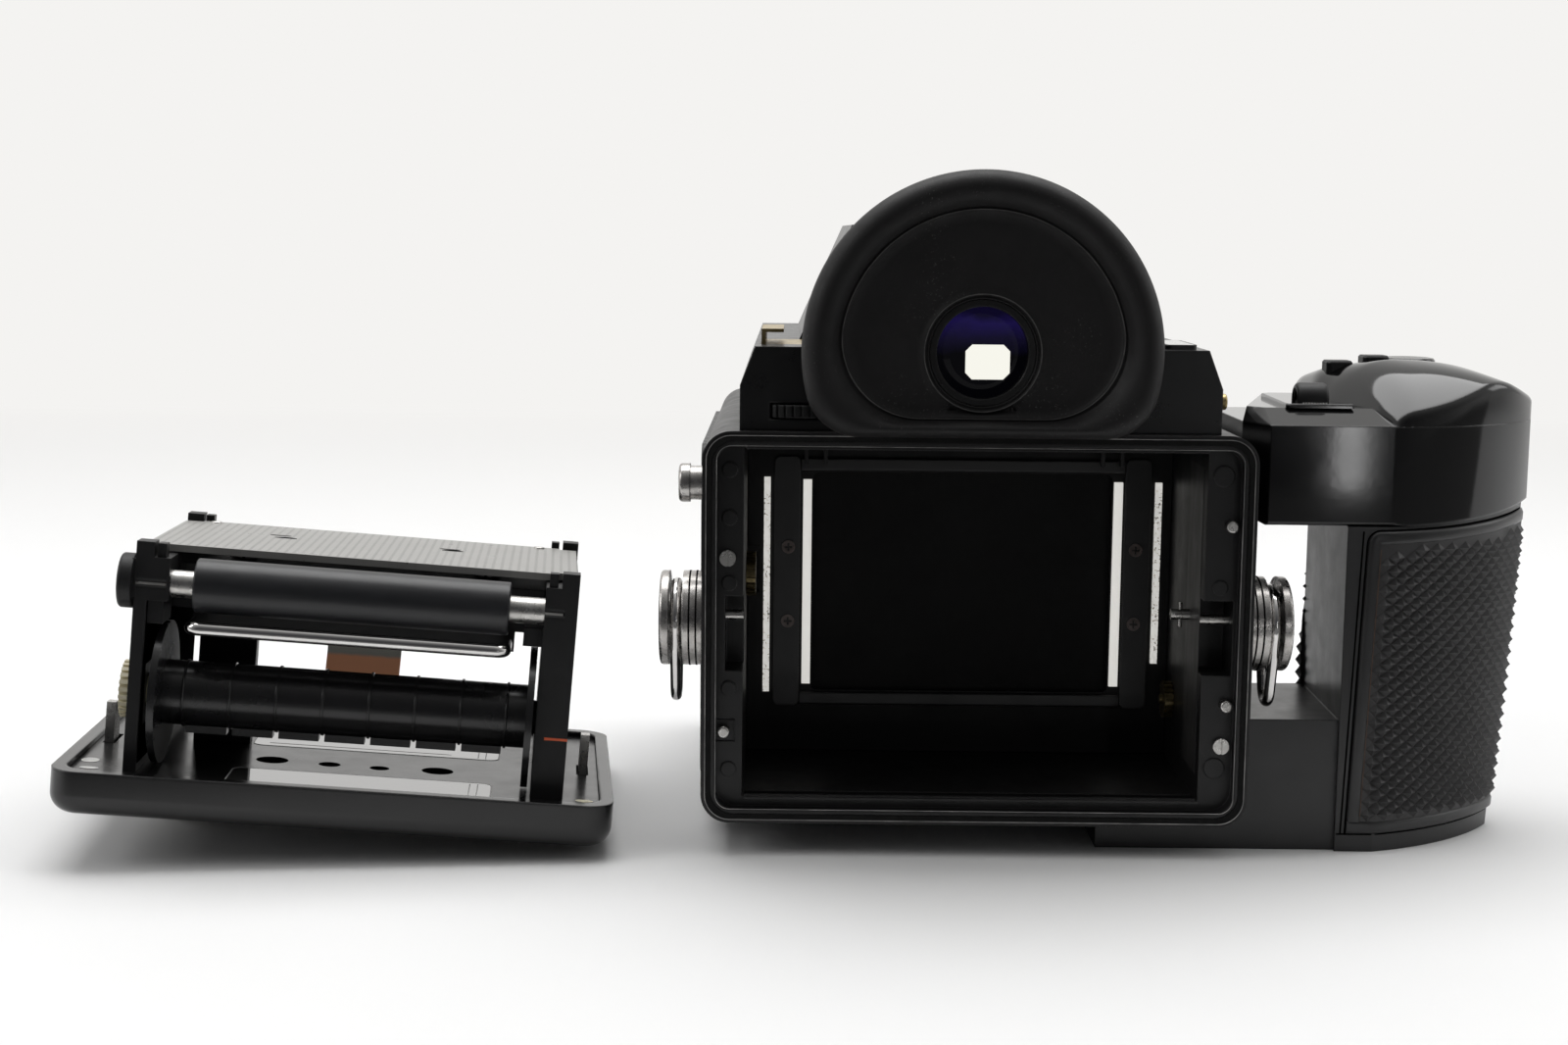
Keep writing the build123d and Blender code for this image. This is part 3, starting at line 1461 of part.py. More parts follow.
with BuildPart() as chamber_pins:
    with BuildSketch(from_rear(flange_step_y)):
        for rise in right_pin_rises:
            with Locations((locating_pin_x, axis_height + rise)):
                Circle(locating_pin_radius)
        with Locations((-locating_pin_x, axis_height - left_pin_drop)):
            Circle(locating_pin_radius)
    extrude(amount=locating_pin_height)
    fillet(chamber_pins.faces().sort_by(Axis.Y)[:3].edges(), locating_pin_round)
    with BuildSketch(from_side(-recess_left)):
        with Locations((flange_step_y + catch_pin_inset, catch_pin_z)):
            Circle(catch_pin_radius)
    extrude(amount=recess_left - chamber_left)
    with BuildSketch(from_side(recess_right)):
        with Locations((flange_step_y + catch_pin_inset, catch_pin_z)):
            Circle(catch_pin_radius)
    extrude(amount=-(recess_right - chamber_right))
chamber_pins.part.label = "chamber_pins"
export_step(chamber_pins.part, "parts/chamber_pins.step")

# Gears and coupling that drive the film insert
with BuildPart() as advance_gear:
    add(gear_disc(advance_gear_radius, advance_gear_teeth, gear_tooth_depth, advance_gear_width))
advance_gear.part.move(
    Location(
        (-chamber_left + advance_gear_reach, advance_gear_y, advance_gear_z),
        (0, -90, 0),
    )
)
advance_gear.part.label = "advance_gear"
export_step(advance_gear.part, "parts/advance_gear.step")

with BuildPart() as counter_gear:
    add(gear_disc(counter_gear_radius, counter_gear_teeth, gear_tooth_depth, counter_gear_width))
    with BuildSketch(Plane.XY.offset(-counter_axle_reach)):
        Circle(counter_axle_radius)
    extrude(amount=counter_axle_reach + counter_gear_width + counter_axle_end)
counter_gear.part.move(
    Location(
        (chamber_right - slip_gap, counter_gear_y, counter_gear_z),
        (0, -90, 0),
    )
)
counter_gear.part.label = "counter_gear"
export_step(counter_gear.part, "parts/counter_gear.step")

with BuildPart() as drive_coupling:
    with BuildSketch(from_side(chamber_right - coupling_reach)):
        with Locations((coupling_y, coupling_z)):
            Circle(coupling_radius)
    extrude(amount=coupling_reach + counter_axle_reach - slip_gap)
    with BuildSketch(Plane.XY.offset(coupling_z - coupling_cross_length / 2)):
        with Locations((chamber_right - coupling_reach / 2, coupling_y)):
            Circle(coupling_cross_radius)
    extrude(amount=coupling_cross_length)
drive_coupling.part.label = "drive_coupling"
export_step(drive_coupling.part, "parts/drive_coupling.step")


# Film back cover, modelled level with its rim at z = 0 and then laid on the table
with BuildPart() as back_shell:
    with BuildSketch(Plane.XY):
        add(rim_face(0))
    extrude(amount=-back_depth)
    fillet(back_shell.faces().sort_by(Axis.Z)[0].edges(), back_round)
    with BuildSketch(Plane.XY):
        add(rim_face(rim_wall))
    extrude(amount=-back_ledge_depth, mode=Mode.SUBTRACT)
    with BuildSketch(Plane.XY):
        add(rim_face(rim_wall + back_ledge_width))
    extrude(amount=-back_hollow, mode=Mode.SUBTRACT)
back_turn = Rotation(back_nod, back_lean, back_yaw)
back_drop = (back_turn * back_shell.part).bounding_box().min.Z
on_table = Location((back_x, back_y, -back_drop)) * back_turn
back_shell.part.move(on_table)
back_shell.part.label = "back_shell"
export_step(back_shell.part, "parts/back_shell.step")

# Inner plate on the cover's ledge, with round holes and the slots of the catch prongs
with BuildPart() as back_plate:
    with BuildSketch(Plane.XY.offset(-back_ledge_depth)):
        add(rim_face(rim_wall + slip_gap))
        for x, y, radius in plate_hole_places:
            with Locations((x, y)):
                Circle(radius, mode=Mode.SUBTRACT)
        for x in (prong_left_x, prong_right_x):
            with Locations((x, prong_y + prong_travel / 2)):
                Rectangle(
                    prong_thickness + 2 * easy_gap,
                    prong_width + prong_travel + 2 * easy_gap,
                    mode=Mode.SUBTRACT,
                )
    extrude(amount=back_plate_thickness)
back_plate.part.move(on_table)
back_plate.part.label = "back_plate"
export_step(back_plate.part, "parts/back_plate.step")

# Insert frame: the left end wall, the arms of the rollers, the bridge under the pressure plate and its skirt
insert_floor = back_plate_thickness - back_ledge_depth
with BuildPart() as insert_frame:
    with BuildSketch(from_side(-insert_left)):
        with Locations(((insert_far - insert_near) / 2, insert_floor)):
            Rectangle(insert_far + insert_near, insert_top - insert_floor, align=(Align.CENTER, Align.MIN))
    extrude(amount=insert_left_wall)
    with BuildSketch(Plane.XY.offset(arm_bottom)):
        with Locations((-insert_left, -insert_near)):
            Rectangle(arm_width, arm_length, align=(Align.MIN, Align.MIN))
        with Locations((-insert_left, insert_far)):
            Rectangle(arm_width, arm_length, align=(Align.MIN, Align.MAX))
    extrude(amount=insert_top - arm_bottom)
    with BuildSketch(Plane.XY.offset(bridge_bottom)):
        with Locations((-insert_left, -bridge_near)):
            Rectangle(
                insert_left + insert_right_inner - slip_gap,
                bridge_near + bridge_far,
                align=(Align.MIN, Align.MIN),
            )
    extrude(amount=bridge_top - bridge_bottom)
    with BuildSketch(Plane.XY.offset(skirt_bottom)):
        with Locations((0, -bridge_near)):
            Rectangle(2 * skirt_half, skirt_thickness, align=(Align.CENTER, Align.MIN))
    extrude(amount=bridge_bottom - skirt_bottom)
    with BuildSketch(Plane.XY.offset(insert_floor)):
        with Locations((wall_block_left, wall_block_y)):
            Rectangle(
                wall_block_right - wall_block_left, wall_block_thickness, align=(Align.MIN, Align.MIN)
            )
    extrude(amount=bridge_bottom - insert_floor)
    with BuildSketch(Plane.XY.offset(insert_top)):
        for y, side in ((-insert_near, Align.MIN), (insert_far, Align.MAX)):
            with Locations((-insert_left, y)):
                Rectangle(corner_tab_width, corner_tab_depth, align=(Align.MIN, side))
    extrude(amount=corner_tab_height)
    with BuildSketch(from_side(-insert_left)):
        with Locations((spool_y, spool_z)):
            Circle(spool_bore_radius)
        for y in (near_roller_y, far_roller_y):
            with Locations((y, roller_z)):
                Circle(roller_shaft_radius + running_gap)
    extrude(amount=arm_width, mode=Mode.SUBTRACT)
    with BuildSketch(Plane.XY.offset(bridge_top)):
        for place in plate_post_places:
            with Locations(place):
                Circle(plate_post_radius + running_gap)
    extrude(amount=-(bridge_top - bridge_bottom), mode=Mode.SUBTRACT)
    with BuildSketch(Plane.XY.offset(plate_rest_height - plate_thickness - plate_travel - slip_gap)):
        with Locations((0, film_axis_shift)):
            Rectangle(4 * insert_right_outer, plate_depth + 2 * easy_gap)
    extrude(amount=insert_top, mode=Mode.SUBTRACT)
insert_frame.part.move(on_table)
insert_frame.part.label = "insert_frame"
export_step(insert_frame.part, "parts/insert_frame.step")

# Right side plate of the insert
with BuildPart() as insert_side:
    with BuildSketch(from_side(insert_right_inner)):
        with Locations(((insert_far - insert_near) / 2, insert_floor)):
            Rectangle(insert_far + insert_near, insert_top - insert_floor, align=(Align.CENTER, Align.MIN))
    extrude(amount=insert_right_outer - insert_right_inner)
    with BuildSketch(Plane.XY.offset(insert_top)):
        for y, side in ((-insert_near, Align.MIN), (insert_far, Align.MAX)):
            with Locations((insert_right_outer, y)):
                Rectangle(corner_tab_width, corner_tab_depth, align=(Align.MAX, side))
    extrude(amount=corner_tab_height)
    with BuildSketch(from_side(insert_right_inner)):
        with Locations((spool_y, spool_z)):
            Circle(spool_bore_radius - running_gap)
    extrude(amount=-spool_key_length)
    with BuildSketch(from_side(insert_right_inner)):
        for y in (near_roller_y, far_roller_y):
            with Locations((y, roller_z)):
                Circle(roller_shaft_radius + running_gap)
    extrude(amount=insert_right_outer - insert_right_inner - insert_left_wall, mode=Mode.SUBTRACT)
    with BuildSketch(Plane.XY.offset(plate_rest_height - plate_thickness - plate_travel - slip_gap)):
        with Locations((0, film_axis_shift)):
            Rectangle(4 * insert_right_outer, plate_depth + 2 * easy_gap)
    extrude(amount=insert_top, mode=Mode.SUBTRACT)
insert_side.part.move(on_table)
insert_side.part.label = "insert_side"
export_step(insert_side.part, "parts/insert_side.step")

# Sprung pressure plate with its two guide posts
with BuildPart() as pressure_plate:
    with BuildSketch(Plane.XY.offset(plate_rest_height)):
        with Locations((-plate_left, film_axis_shift)):
            Rectangle(plate_left + plate_right, plate_depth, align=(Align.MIN, Align.CENTER))
        with Locations(((plate_right - plate_left) / 2, film_axis_shift)):
            with GridLocations(plate_left + plate_right, plate_depth, 2, 2):
                Rectangle(2 * plate_notch, plate_notch, mode=Mode.SUBTRACT)
        for place in plate_slot_places:
            with Locations(place):
                SlotOverall(plate_slot_length, plate_slot_width, mode=Mode.SUBTRACT)
    extrude(amount=-plate_thickness)
    with BuildSketch(Plane.XY.offset(plate_rest_height - plate_thickness)):
        for place in plate_post_places:
            with Locations(place):
                Circle(plate_post_radius)
    extrude(amount=-(plate_rest_height - plate_thickness - bridge_bottom - plate_travel - slip_gap))
pressure_plate.part.move(on_table)
pressure_plate.part.label = "pressure_plate"
export_step(pressure_plate.part, "parts/pressure_plate.step")

# Film rollers: the near one with a rubber sleeve, a steel shaft and a drive knob
with BuildPart() as near_roller:
    with BuildSketch(from_side(-roller_left)):
        with Locations((near_roller_y, roller_z)):
            Circle(roller_radius)
            Circle(roller_shaft_radius, mode=Mode.SUBTRACT)
    extrude(amount=roller_left + roller_right)
    fillet(near_roller.edges().filter_by(GeomType.CIRCLE).sort_by(SortBy.RADIUS)[-2:], roller_round)
near_roller.part.move(on_table)
near_roller.part.label = "near_roller"
export_step(near_roller.part, "parts/near_roller.step")

shaft_right = insert_right_outer - insert_left_wall - easy_gap
with BuildPart() as near_shaft:
    with BuildSketch(from_side(-insert_left - easy_gap)):
        with Locations((near_roller_y, roller_z)):
            Circle(roller_shaft_radius)
    extrude(amount=insert_left + easy_gap + shaft_right)
    with BuildSketch(from_side(-insert_left - easy_gap)):
        with Locations((near_roller_y, roller_z)):
            Circle(knob_radius)
    extrude(amount=-knob_length)
    fillet(near_shaft.faces().sort_by(Axis.X)[0].edges(), knob_round)
near_shaft.part.move(on_table)
near_shaft.part.label = "near_shaft"
export_step(near_shaft.part, "parts/near_shaft.step")

with BuildPart() as far_roller:
    with BuildSketch(from_side(-roller_left)):
        with Locations((far_roller_y, roller_z)):
            Circle(roller_radius)
    extrude(amount=roller_left + roller_right)
    with BuildSketch(from_side(-insert_left + slip_gap)):
        with Locations((far_roller_y, roller_z)):
            Circle(roller_shaft_radius)
    extrude(amount=insert_left - slip_gap + shaft_right)
far_roller.part.move(on_table)
far_roller.part.label = "far_roller"
export_step(far_roller.part, "parts/far_roller.step")

# Take-up spool for roll film, turned by the drive gear outside the left wall
with BuildPart() as take_up_spool:
    with BuildSketch(from_side(-spool_half_length)):
        with Locations((spool_y, spool_z)):
            Circle(spool_flange_radius)
    extrude(amount=spool_flange_thickness)
    with BuildSketch(from_side(spool_half_length)):
        with Locations((spool_y, spool_z)):
            Circle(spool_flange_radius)
    extrude(amount=-spool_flange_thickness)
    with BuildSketch(from_side(-spool_half_length)):
        with Locations((spool_y, spool_z)):
            Circle(spool_core_radius)
    extrude(amount=2 * spool_half_length)
    with BuildSketch(from_side(-spool_half_length)):
        with Locations((spool_y, spool_z)):
            Circle(spool_bore_radius)
    extrude(amount=2 * spool_half_length, mode=Mode.SUBTRACT)
    with BuildSketch(from_side(-spool_half_length + spool_half_length / 2)):
        with Locations((spool_y, spool_z)):
            Rectangle(spool_slot_width, 3 * spool_core_radius)
    extrude(amount=spool_half_length, mode=Mode.SUBTRACT)
take_up_spool.part.move(on_table)
take_up_spool.part.label = "take_up_spool"
export_step(take_up_spool.part, "parts/take_up_spool.step")

with BuildPart() as spool_gear:
    add(gear_disc(spool_gear_radius, spool_gear_teeth, gear_tooth_depth, spool_gear_width))
    with BuildSketch(Plane.XY.offset(spool_gear_width)):
        Circle(spool_bore_radius - running_gap)
    extrude(amount=easy_gap + insert_left - spool_half_length + spool_key_length)
spool_gear.part.move(
    on_table * Location((-insert_left - easy_gap - spool_gear_width, spool_y, spool_z), (0, 90, 0))
)
spool_gear.part.label = "spool_gear"
export_step(spool_gear.part, "parts/spool_gear.step")

# Chrome guide rod below the near roller, held by the bridge's skirt
with BuildPart() as guide_wire:
    with BuildLine() as guide_path:
        FilletPolyline(
            (-guide_wire_half, -bridge_near, guide_wire_z),
            (-guide_wire_half, guide_wire_y, guide_wire_z),
            (guide_wire_half, guide_wire_y, guide_wire_z),
            (guide_wire_half, -bridge_near, guide_wire_z),
            radius=guide_wire_bend,
        )
    with BuildSketch(Plane(origin=guide_path.line @ 0, z_dir=guide_path.line % 0)):
        Circle(guide_wire_radius)
    sweep()
guide_wire.part.move(on_table)
guide_wire.part.label = "guide_wire"
export_step(guide_wire.part, "parts/guide_wire.step")

# Copper leaf spring under the bridge
with BuildPart() as leaf_spring:
    with BuildSketch(from_side(leaf_left)):
        with BuildLine():
            Polyline(
                (leaf_y, bridge_bottom),
                (leaf_y + leaf_bend_y, bridge_bottom - leaf_bend_drop),
                (leaf_y, leaf_bottom),
                (leaf_y + leaf_thickness, leaf_bottom),
                (leaf_y + leaf_bend_y + leaf_thickness, bridge_bottom - leaf_bend_drop),
                (leaf_y + leaf_thickness, bridge_bottom),
                close=True,
            )
        make_face()
    extrude(amount=leaf_right - leaf_left)
leaf_spring.part.move(on_table)
leaf_spring.part.label = "leaf_spring"
export_step(leaf_spring.part, "parts/leaf_spring.step")

# Folding latch key on the outer face, high enough to rest on the table
nod, lean, yaw = radians(back_nod), radians(back_lean), radians(back_yaw)
rise_x = sin(nod) * sin(yaw) - cos(nod) * sin(lean) * cos(yaw)
rise_y = sin(nod) * cos(yaw) + cos(nod) * sin(lean) * sin(yaw)
rise_z = cos(nod) * cos(lean)
key_low = -back_drop + rise_x * key_x + rise_y * key_y - key_radius * hypot(rise_x, rise_y)
key_height = key_low / rise_z - back_depth
with BuildPart() as latch_key:
    with BuildSketch(Plane.XY.offset(-back_depth)):
        with Locations((key_x, key_y)):
            Circle(key_radius)
    extrude(amount=-key_height)
    with BuildSketch(Plane.XY.offset(-back_depth - key_height)):
        with Locations((key_x, key_y)):
            Circle(key_radius)
            Rectangle(key_slot_width, 2 * key_radius, mode=Mode.SUBTRACT)
            Circle(key_hollow_share * key_radius, mode=Mode.SUBTRACT)
    extrude(amount=(1 - key_blade_share) * key_height, mode=Mode.SUBTRACT)
latch_key.part.move(on_table)
latch_key.part.label = "latch_key"
export_step(latch_key.part, "parts/latch_key.step")

# Catch prongs that hook behind the pins in the chamber
with BuildPart() as catch_prongs:
    for x in (prong_left_x, prong_right_x):
        with BuildSketch(from_side(x - prong_thickness / 2)):
            with BuildLine():
                Polyline(
                    (prong_y - prong_width / 2, -back_hollow + slip_gap),
                    (prong_y + prong_width / 2, -back_hollow + slip_gap),
                    (prong_y + prong_width / 2, prong_height - 3 * prong_hook / 2),
                    (prong_y + prong_width / 2 + prong_hook / 4, prong_height - prong_hook),
                    (prong_y, prong_height),
                    (prong_y - prong_width / 2, prong_height),
                    close=True,
                )
            make_face()
        extrude(amount=prong_thickness)
    with BuildSketch(Plane.XY.offset(-back_hollow + slip_gap)):
        with Locations(((prong_left_x + prong_right_x) / 2, prong_y)):
            Rectangle(prong_right_x - prong_left_x, prong_width)
    extrude(amount=prong_bar_thickness)
catch_prongs.part.move(on_table)
catch_prongs.part.label = "catch_prongs"
export_step(catch_prongs.part, "parts/catch_prongs.step")
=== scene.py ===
import math

import bpy
from mathutils import Matrix, Vector


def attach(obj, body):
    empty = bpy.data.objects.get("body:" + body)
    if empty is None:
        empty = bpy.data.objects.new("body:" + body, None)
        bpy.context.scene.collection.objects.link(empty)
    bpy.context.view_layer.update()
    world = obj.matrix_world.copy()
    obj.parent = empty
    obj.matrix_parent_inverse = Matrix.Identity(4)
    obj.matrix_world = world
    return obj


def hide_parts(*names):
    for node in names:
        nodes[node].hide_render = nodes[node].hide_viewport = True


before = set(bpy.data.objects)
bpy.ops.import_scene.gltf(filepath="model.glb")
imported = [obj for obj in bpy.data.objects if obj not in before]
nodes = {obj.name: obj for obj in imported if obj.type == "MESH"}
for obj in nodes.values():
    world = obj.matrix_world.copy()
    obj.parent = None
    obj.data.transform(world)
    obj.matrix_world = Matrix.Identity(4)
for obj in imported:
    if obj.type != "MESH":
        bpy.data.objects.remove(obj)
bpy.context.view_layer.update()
scene = bpy.context.scene
scene.view_settings.view_transform = "Standard"
MM = 0.001

# The photograph's camera
CAMERA_PLACE = Vector((-32.2, -428.3, 107.7)) * MM
CAMERA_PITCH = math.radians(7.6)
CAMERA_YAW = math.radians(-0.18)
CAMERA_ROLL = math.radians(0.56)
camera_data = bpy.data.cameras.new("camera")
camera_data.lens = 50
camera_data.sensor_width = 36
camera_data.clip_start = 0.01
camera = bpy.data.objects.new("camera", camera_data)
scene.collection.objects.link(camera)
level = math.cos(CAMERA_PITCH)
forward = Vector((math.sin(CAMERA_YAW) * level, math.cos(CAMERA_YAW) * level, -math.sin(CAMERA_PITCH)))
level_right = Vector((math.cos(CAMERA_YAW), -math.sin(CAMERA_YAW), 0))
level_down = forward.cross(level_right)
right = level_right * math.cos(CAMERA_ROLL) - level_down * math.sin(CAMERA_ROLL)
down = level_down * math.cos(CAMERA_ROLL) + level_right * math.sin(CAMERA_ROLL)
turn = Matrix((right, -down, -forward)).transposed()
camera.matrix_world = Matrix.Translation(CAMERA_PLACE) @ turn.to_4x4()
scene.camera = camera

# The film back as it lies tilted on the table: from its own frame into the scene's
BACK_NOD = math.radians(-2.58)
BACK_LEAN = math.radians(4.63)
BACK_YAW = math.radians(6.07)
BACK_PLACE = Vector((-112.5, -36.3, 12.4786)) * MM
back_rotation = Matrix.Rotation(BACK_NOD, 4, "X") @ Matrix.Rotation(BACK_LEAN, 4, "Y")
BACK_MATRIX = Matrix.Translation(BACK_PLACE) @ back_rotation @ Matrix.Rotation(BACK_YAW, 4, "Z")


# Node helpers
def new_material(name):
    """A new material with its node tree and its shader."""
    mat = bpy.data.materials.new(name)
    mat.use_nodes = True
    return mat, mat.node_tree, mat.node_tree.nodes["Principled BSDF"]


def feed(tree, node, values):
    """Set a node's inputs, each to a constant or to another node's output."""
    for name, value in values.items():
        if isinstance(value, bpy.types.NodeSocket):
            tree.links.new(value, node.inputs[name])
        else:
            node.inputs[name].default_value = value


def add(tree, kind, values=None, **settings):
    """A new shader node with its settings and its inputs."""
    node = tree.nodes.new("ShaderNode" + kind)
    for key, value in settings.items():
        setattr(node, key, value)
    feed(tree, node, values or {})
    return node


def coordinates(tree, stretch=(1, 1, 1)):
    """Coordinates along the scene's axes, in metres."""
    place = add(tree, "TexCoord").outputs["Object"]
    return add(tree, "Mapping", {"Vector": place, "Scale": stretch}).outputs["Vector"]


def back_coordinates(tree):
    """Coordinates along the tilted film back's own edges, in metres."""
    inverse = BACK_MATRIX.inverted()
    values = {"Vector": add(tree, "TexCoord").outputs["Object"],
              "Rotation": inverse.to_euler("XYZ"), "Location": inverse.to_translation()}
    return add(tree, "Mapping", values).outputs["Vector"]


def noise(tree, vector, size_mm, detail=3.0, rough=0.55):
    values = {"Vector": vector, "Scale": 1 / (size_mm * MM), "Detail": detail, "Roughness": rough}
    return add(tree, "TexNoise", values).outputs["Fac"]


def ramp(tree, value, stops):
    """A colour ramp: each stop is its place and a colour or a grey."""
    node = add(tree, "ValToRGB", {"Fac": value})
    elements = node.color_ramp.elements
    while len(elements) < len(stops):
        elements.new(0.5)
    for element, (place, colour) in zip(elements, stops):
        element.position = place
        grey = isinstance(colour, (int, float))
        element.color = (colour, colour, colour, 1) if grey else (*colour, 1)
    return node.outputs["Color"]


def maths(tree, operation, a, b=None):
    values = {0: a} if b is None else {0: a, 1: b}
    return add(tree, "Math", values, operation=operation).outputs["Value"]


def split_xyz(tree, vector):
    return add(tree, "SeparateXYZ", {"Vector": vector}).outputs


def mix(tree, factor, a, b):
    """Colour a where the factor is 0, b where it is 1."""
    values = {"Factor": factor}
    for name, value in (("A", a), ("B", b)):
        values[name] = (*value, 1) if isinstance(value, tuple) else value
    return add(tree, "Mix", values, data_type="RGBA").outputs["Result"]


def bump(tree, shader, height, distance_mm, edge_mm=0.0):
    """A fine relief, over edges rounded by edge_mm where that is given."""
    node = add(tree, "Bump", {"Distance": distance_mm * MM, "Height": height})
    if edge_mm:
        edge = add(tree, "Bevel", {"Radius": edge_mm * MM}, samples=4)
        feed(tree, node, {"Normal": edge.outputs["Normal"]})
    feed(tree, shader, {"Normal": node.outputs["Normal"]})


# Dust on paint and rubber, and the gloss of a clear coat
DUST_COLOUR = (0.16, 0.155, 0.15)
DUST_SPECK_MM = 0.4
DUST_CLOUD_MM = 14.0
COAT_ROUGHNESS = 0.06


def finish(name, dark, pale, rough, grain_mm, bump_mm, patch_mm=9.0, metallic=0.0, specular=0.5,
           coat=0.0, dust=0.0, edge_mm=0.0, stretch=(1, 1, 1)):
    """A surface whose colour and gloss drift in soft patches over a fine grain, with optional dust."""
    mat, tree, shader = new_material(name)
    vector = coordinates(tree, stretch)
    colour = ramp(tree, noise(tree, vector, patch_mm, 4), ((0.3, dark), (0.72, pale)))
    if dust:
        specks = noise(tree, coordinates(tree), DUST_SPECK_MM, 2, 0.7)
        clouds = noise(tree, vector, DUST_CLOUD_MM, 2)
        mask = maths(tree, "MULTIPLY", ramp(tree, specks, ((0.62, 0.0), (0.72, dust))),
                     ramp(tree, clouds, ((0.5, 0.0), (0.7, 1.0))))
        colour = mix(tree, mask, colour, DUST_COLOUR)
    gloss = ramp(tree, noise(tree, vector, patch_mm * 0.6, 5, 0.65), ((0.3, rough[0]), (0.7, rough[1])))
    feed(tree, shader, {"Base Color": colour, "Roughness": gloss, "Metallic": metallic,
                        "Specular IOR Level": specular})
    if coat:
        feed(tree, shader, {"Coat Weight": coat, "Coat Roughness": COAT_ROUGHNESS})
    bump(tree, shader, noise(tree, vector, grain_mm, 2), bump_mm, edge_mm)
    return mat


# Finishes: name, dark and pale colour, lowest and highest roughness, then grain, bump and patch in mm
satin_black = finish("satin_black_paint", (0.006, 0.0058, 0.006), (0.010, 0.0095, 0.010),
                     (0.34, 0.46), 0.22, 0.010, specular=0.4, dust=0.25, edge_mm=0.35)
guide_black = finish("guide_plates", (0.009, 0.0088, 0.009), (0.014, 0.0135, 0.014),
                     (0.36, 0.48), 0.2, 0.012, edge_mm=0.3)
pale_line_finish = finish("pale_line_finish", 0.04, (0.10, 0.098, 0.095), (0.35, 0.5), 0.3, 0.004, 3.0)
# Painted highlight: the pale finish of the rim's thin lines.
rim_painted_highlight = finish("rim_painted_highlight", 0.10, (0.4, 0.39, 0.38), (0.25, 0.4), 0.3, 0.004, 6.0)
matt_black = finish("matt_black_paint", (0.003, 0.003, 0.0032), (0.006, 0.0057, 0.006),
                    (0.5, 0.65), 0.2, 0.015, specular=0.25, edge_mm=0.2)
shell_black = finish("housing_black", (0.003, 0.003, 0.0032), (0.006, 0.0058, 0.006),
                     (0.26, 0.36), 0.22, 0.008, 7.0, specular=0.45, edge_mm=0.5)
gloss_black = finish("polished_black", (0.002, 0.002, 0.0022), (0.0035, 0.0035, 0.0037),
                     (0.06, 0.095), 1.6, 0.002, 30.0, specular=0.55, edge_mm=0.5)
smooth_grip = finish("smooth_grip", (0.011, 0.011, 0.0115), (0.017, 0.017, 0.0175),
                     (0.28, 0.38), 0.3, 0.006, 10.0, edge_mm=0.4)
rubber = finish("eyecup_rubber", (0.005, 0.0045, 0.0048), (0.009, 0.0083, 0.0088),
                (0.5, 0.64), 0.14, 0.03, 8.0, specular=0.35, dust=0.45)
grip_rubber = finish("grip_rubber", (0.020, 0.0195, 0.020), (0.032, 0.031, 0.0315),
                     (0.42, 0.56), 0.15, 0.012, 6.0)
steel = finish("turned_steel", (0.42, 0.41, 0.39), (0.6, 0.59, 0.57),
               (0.22, 0.36), 0.15, 0.004, 3.0, metallic=1.0)
dark_steel = finish("dark_steel", (0.34, 0.325, 0.31), (0.58, 0.565, 0.55),
                    (0.2, 0.34), 0.3, 0.004, 2.5, metallic=1.0, edge_mm=0.25)
burnished = finish("burnished_screws", (0.07, 0.055, 0.05), (0.16, 0.13, 0.12),
                   (0.25, 0.4), 0.2, 0.004, 1.5, metallic=0.3)
dark_brass = finish("dark_brass", (0.09, 0.07, 0.03), (0.26, 0.21, 0.11),
                    (0.25, 0.4), 0.25, 0.006, 1.2, metallic=0.9)
chrome = finish("worn_chrome", (0.64, 0.63, 0.62), (0.74, 0.73, 0.72),
                (0.08, 0.13), 0.5, 0.002, 12.0, metallic=1.0)
brass = finish("oiled_brass", (0.30, 0.22, 0.09), (0.52, 0.42, 0.22),
               (0.25, 0.42), 0.2, 0.006, 2.0, metallic=1.0)
cream = finish("cream_plastic", (0.66, 0.6, 0.42), (0.78, 0.73, 0.56), (0.4, 0.55), 0.3, 0.005, 3.0)
foam = finish("foam_strip", 0.004, 0.008, (0.8, 0.95), 0.25, 0.05, 2.0, specular=0.2)
plate_black = finish("inner_plate", 0.006, (0.012, 0.0118, 0.0115),
                     (0.18, 0.28), 0.35, 0.004, 12.0, dust=0.5)
insert_black = finish("insert_black", (0.005, 0.005, 0.0055), (0.009, 0.009, 0.0095),
                      (0.42, 0.52), 0.3, 0.008, 6.0, specular=0.35, edge_mm=0.3)
cover_black = finish("cover_black", (0.003, 0.003, 0.0032), (0.006, 0.0058, 0.006),
                     (0.16, 0.22), 0.4, 0.004, 30.0, edge_mm=0.7)
spool_black = finish("spool_black", (0.007, 0.007, 0.0075), (0.012, 0.012, 0.0125),
                     (0.26, 0.29), 0.4, 0.003, 60.0)
roller_rubber = finish("roller_rubber", (0.010, 0.0105, 0.012), (0.015, 0.0155, 0.018),
                       (0.3, 0.4), 0.15, 0.006, 7.0, stretch=(1, 4, 4))
line_black = finish("seam_black", 0.0015, 0.003, (0.6, 0.8), 0.3, 0.004, 4.0, specular=0.0)
glue_brown = finish("glue_line", (0.05, 0.025, 0.015), (0.09, 0.05, 0.03), (0.5, 0.7), 0.3, 0.01, 3.0)
wall_grey = finish("pale_wall_streaks", (0.018, 0.017, 0.017), (0.035, 0.034, 0.033),
                   (0.3, 0.45), 0.3, 0.006, 5.0, stretch=(1, 1, 0.3))
label_film = finish("label_film", (0.05, 0.05, 0.049), (0.08, 0.08, 0.078),
                    (0.04, 0.07), 0.8, 0.001, 9.0, specular=0.8, coat=1.0)
label_line = finish("label_line", (0.5, 0.5, 0.49), (0.6, 0.6, 0.58), (0.3, 0.4), 0.3, 0.002, 4.0)
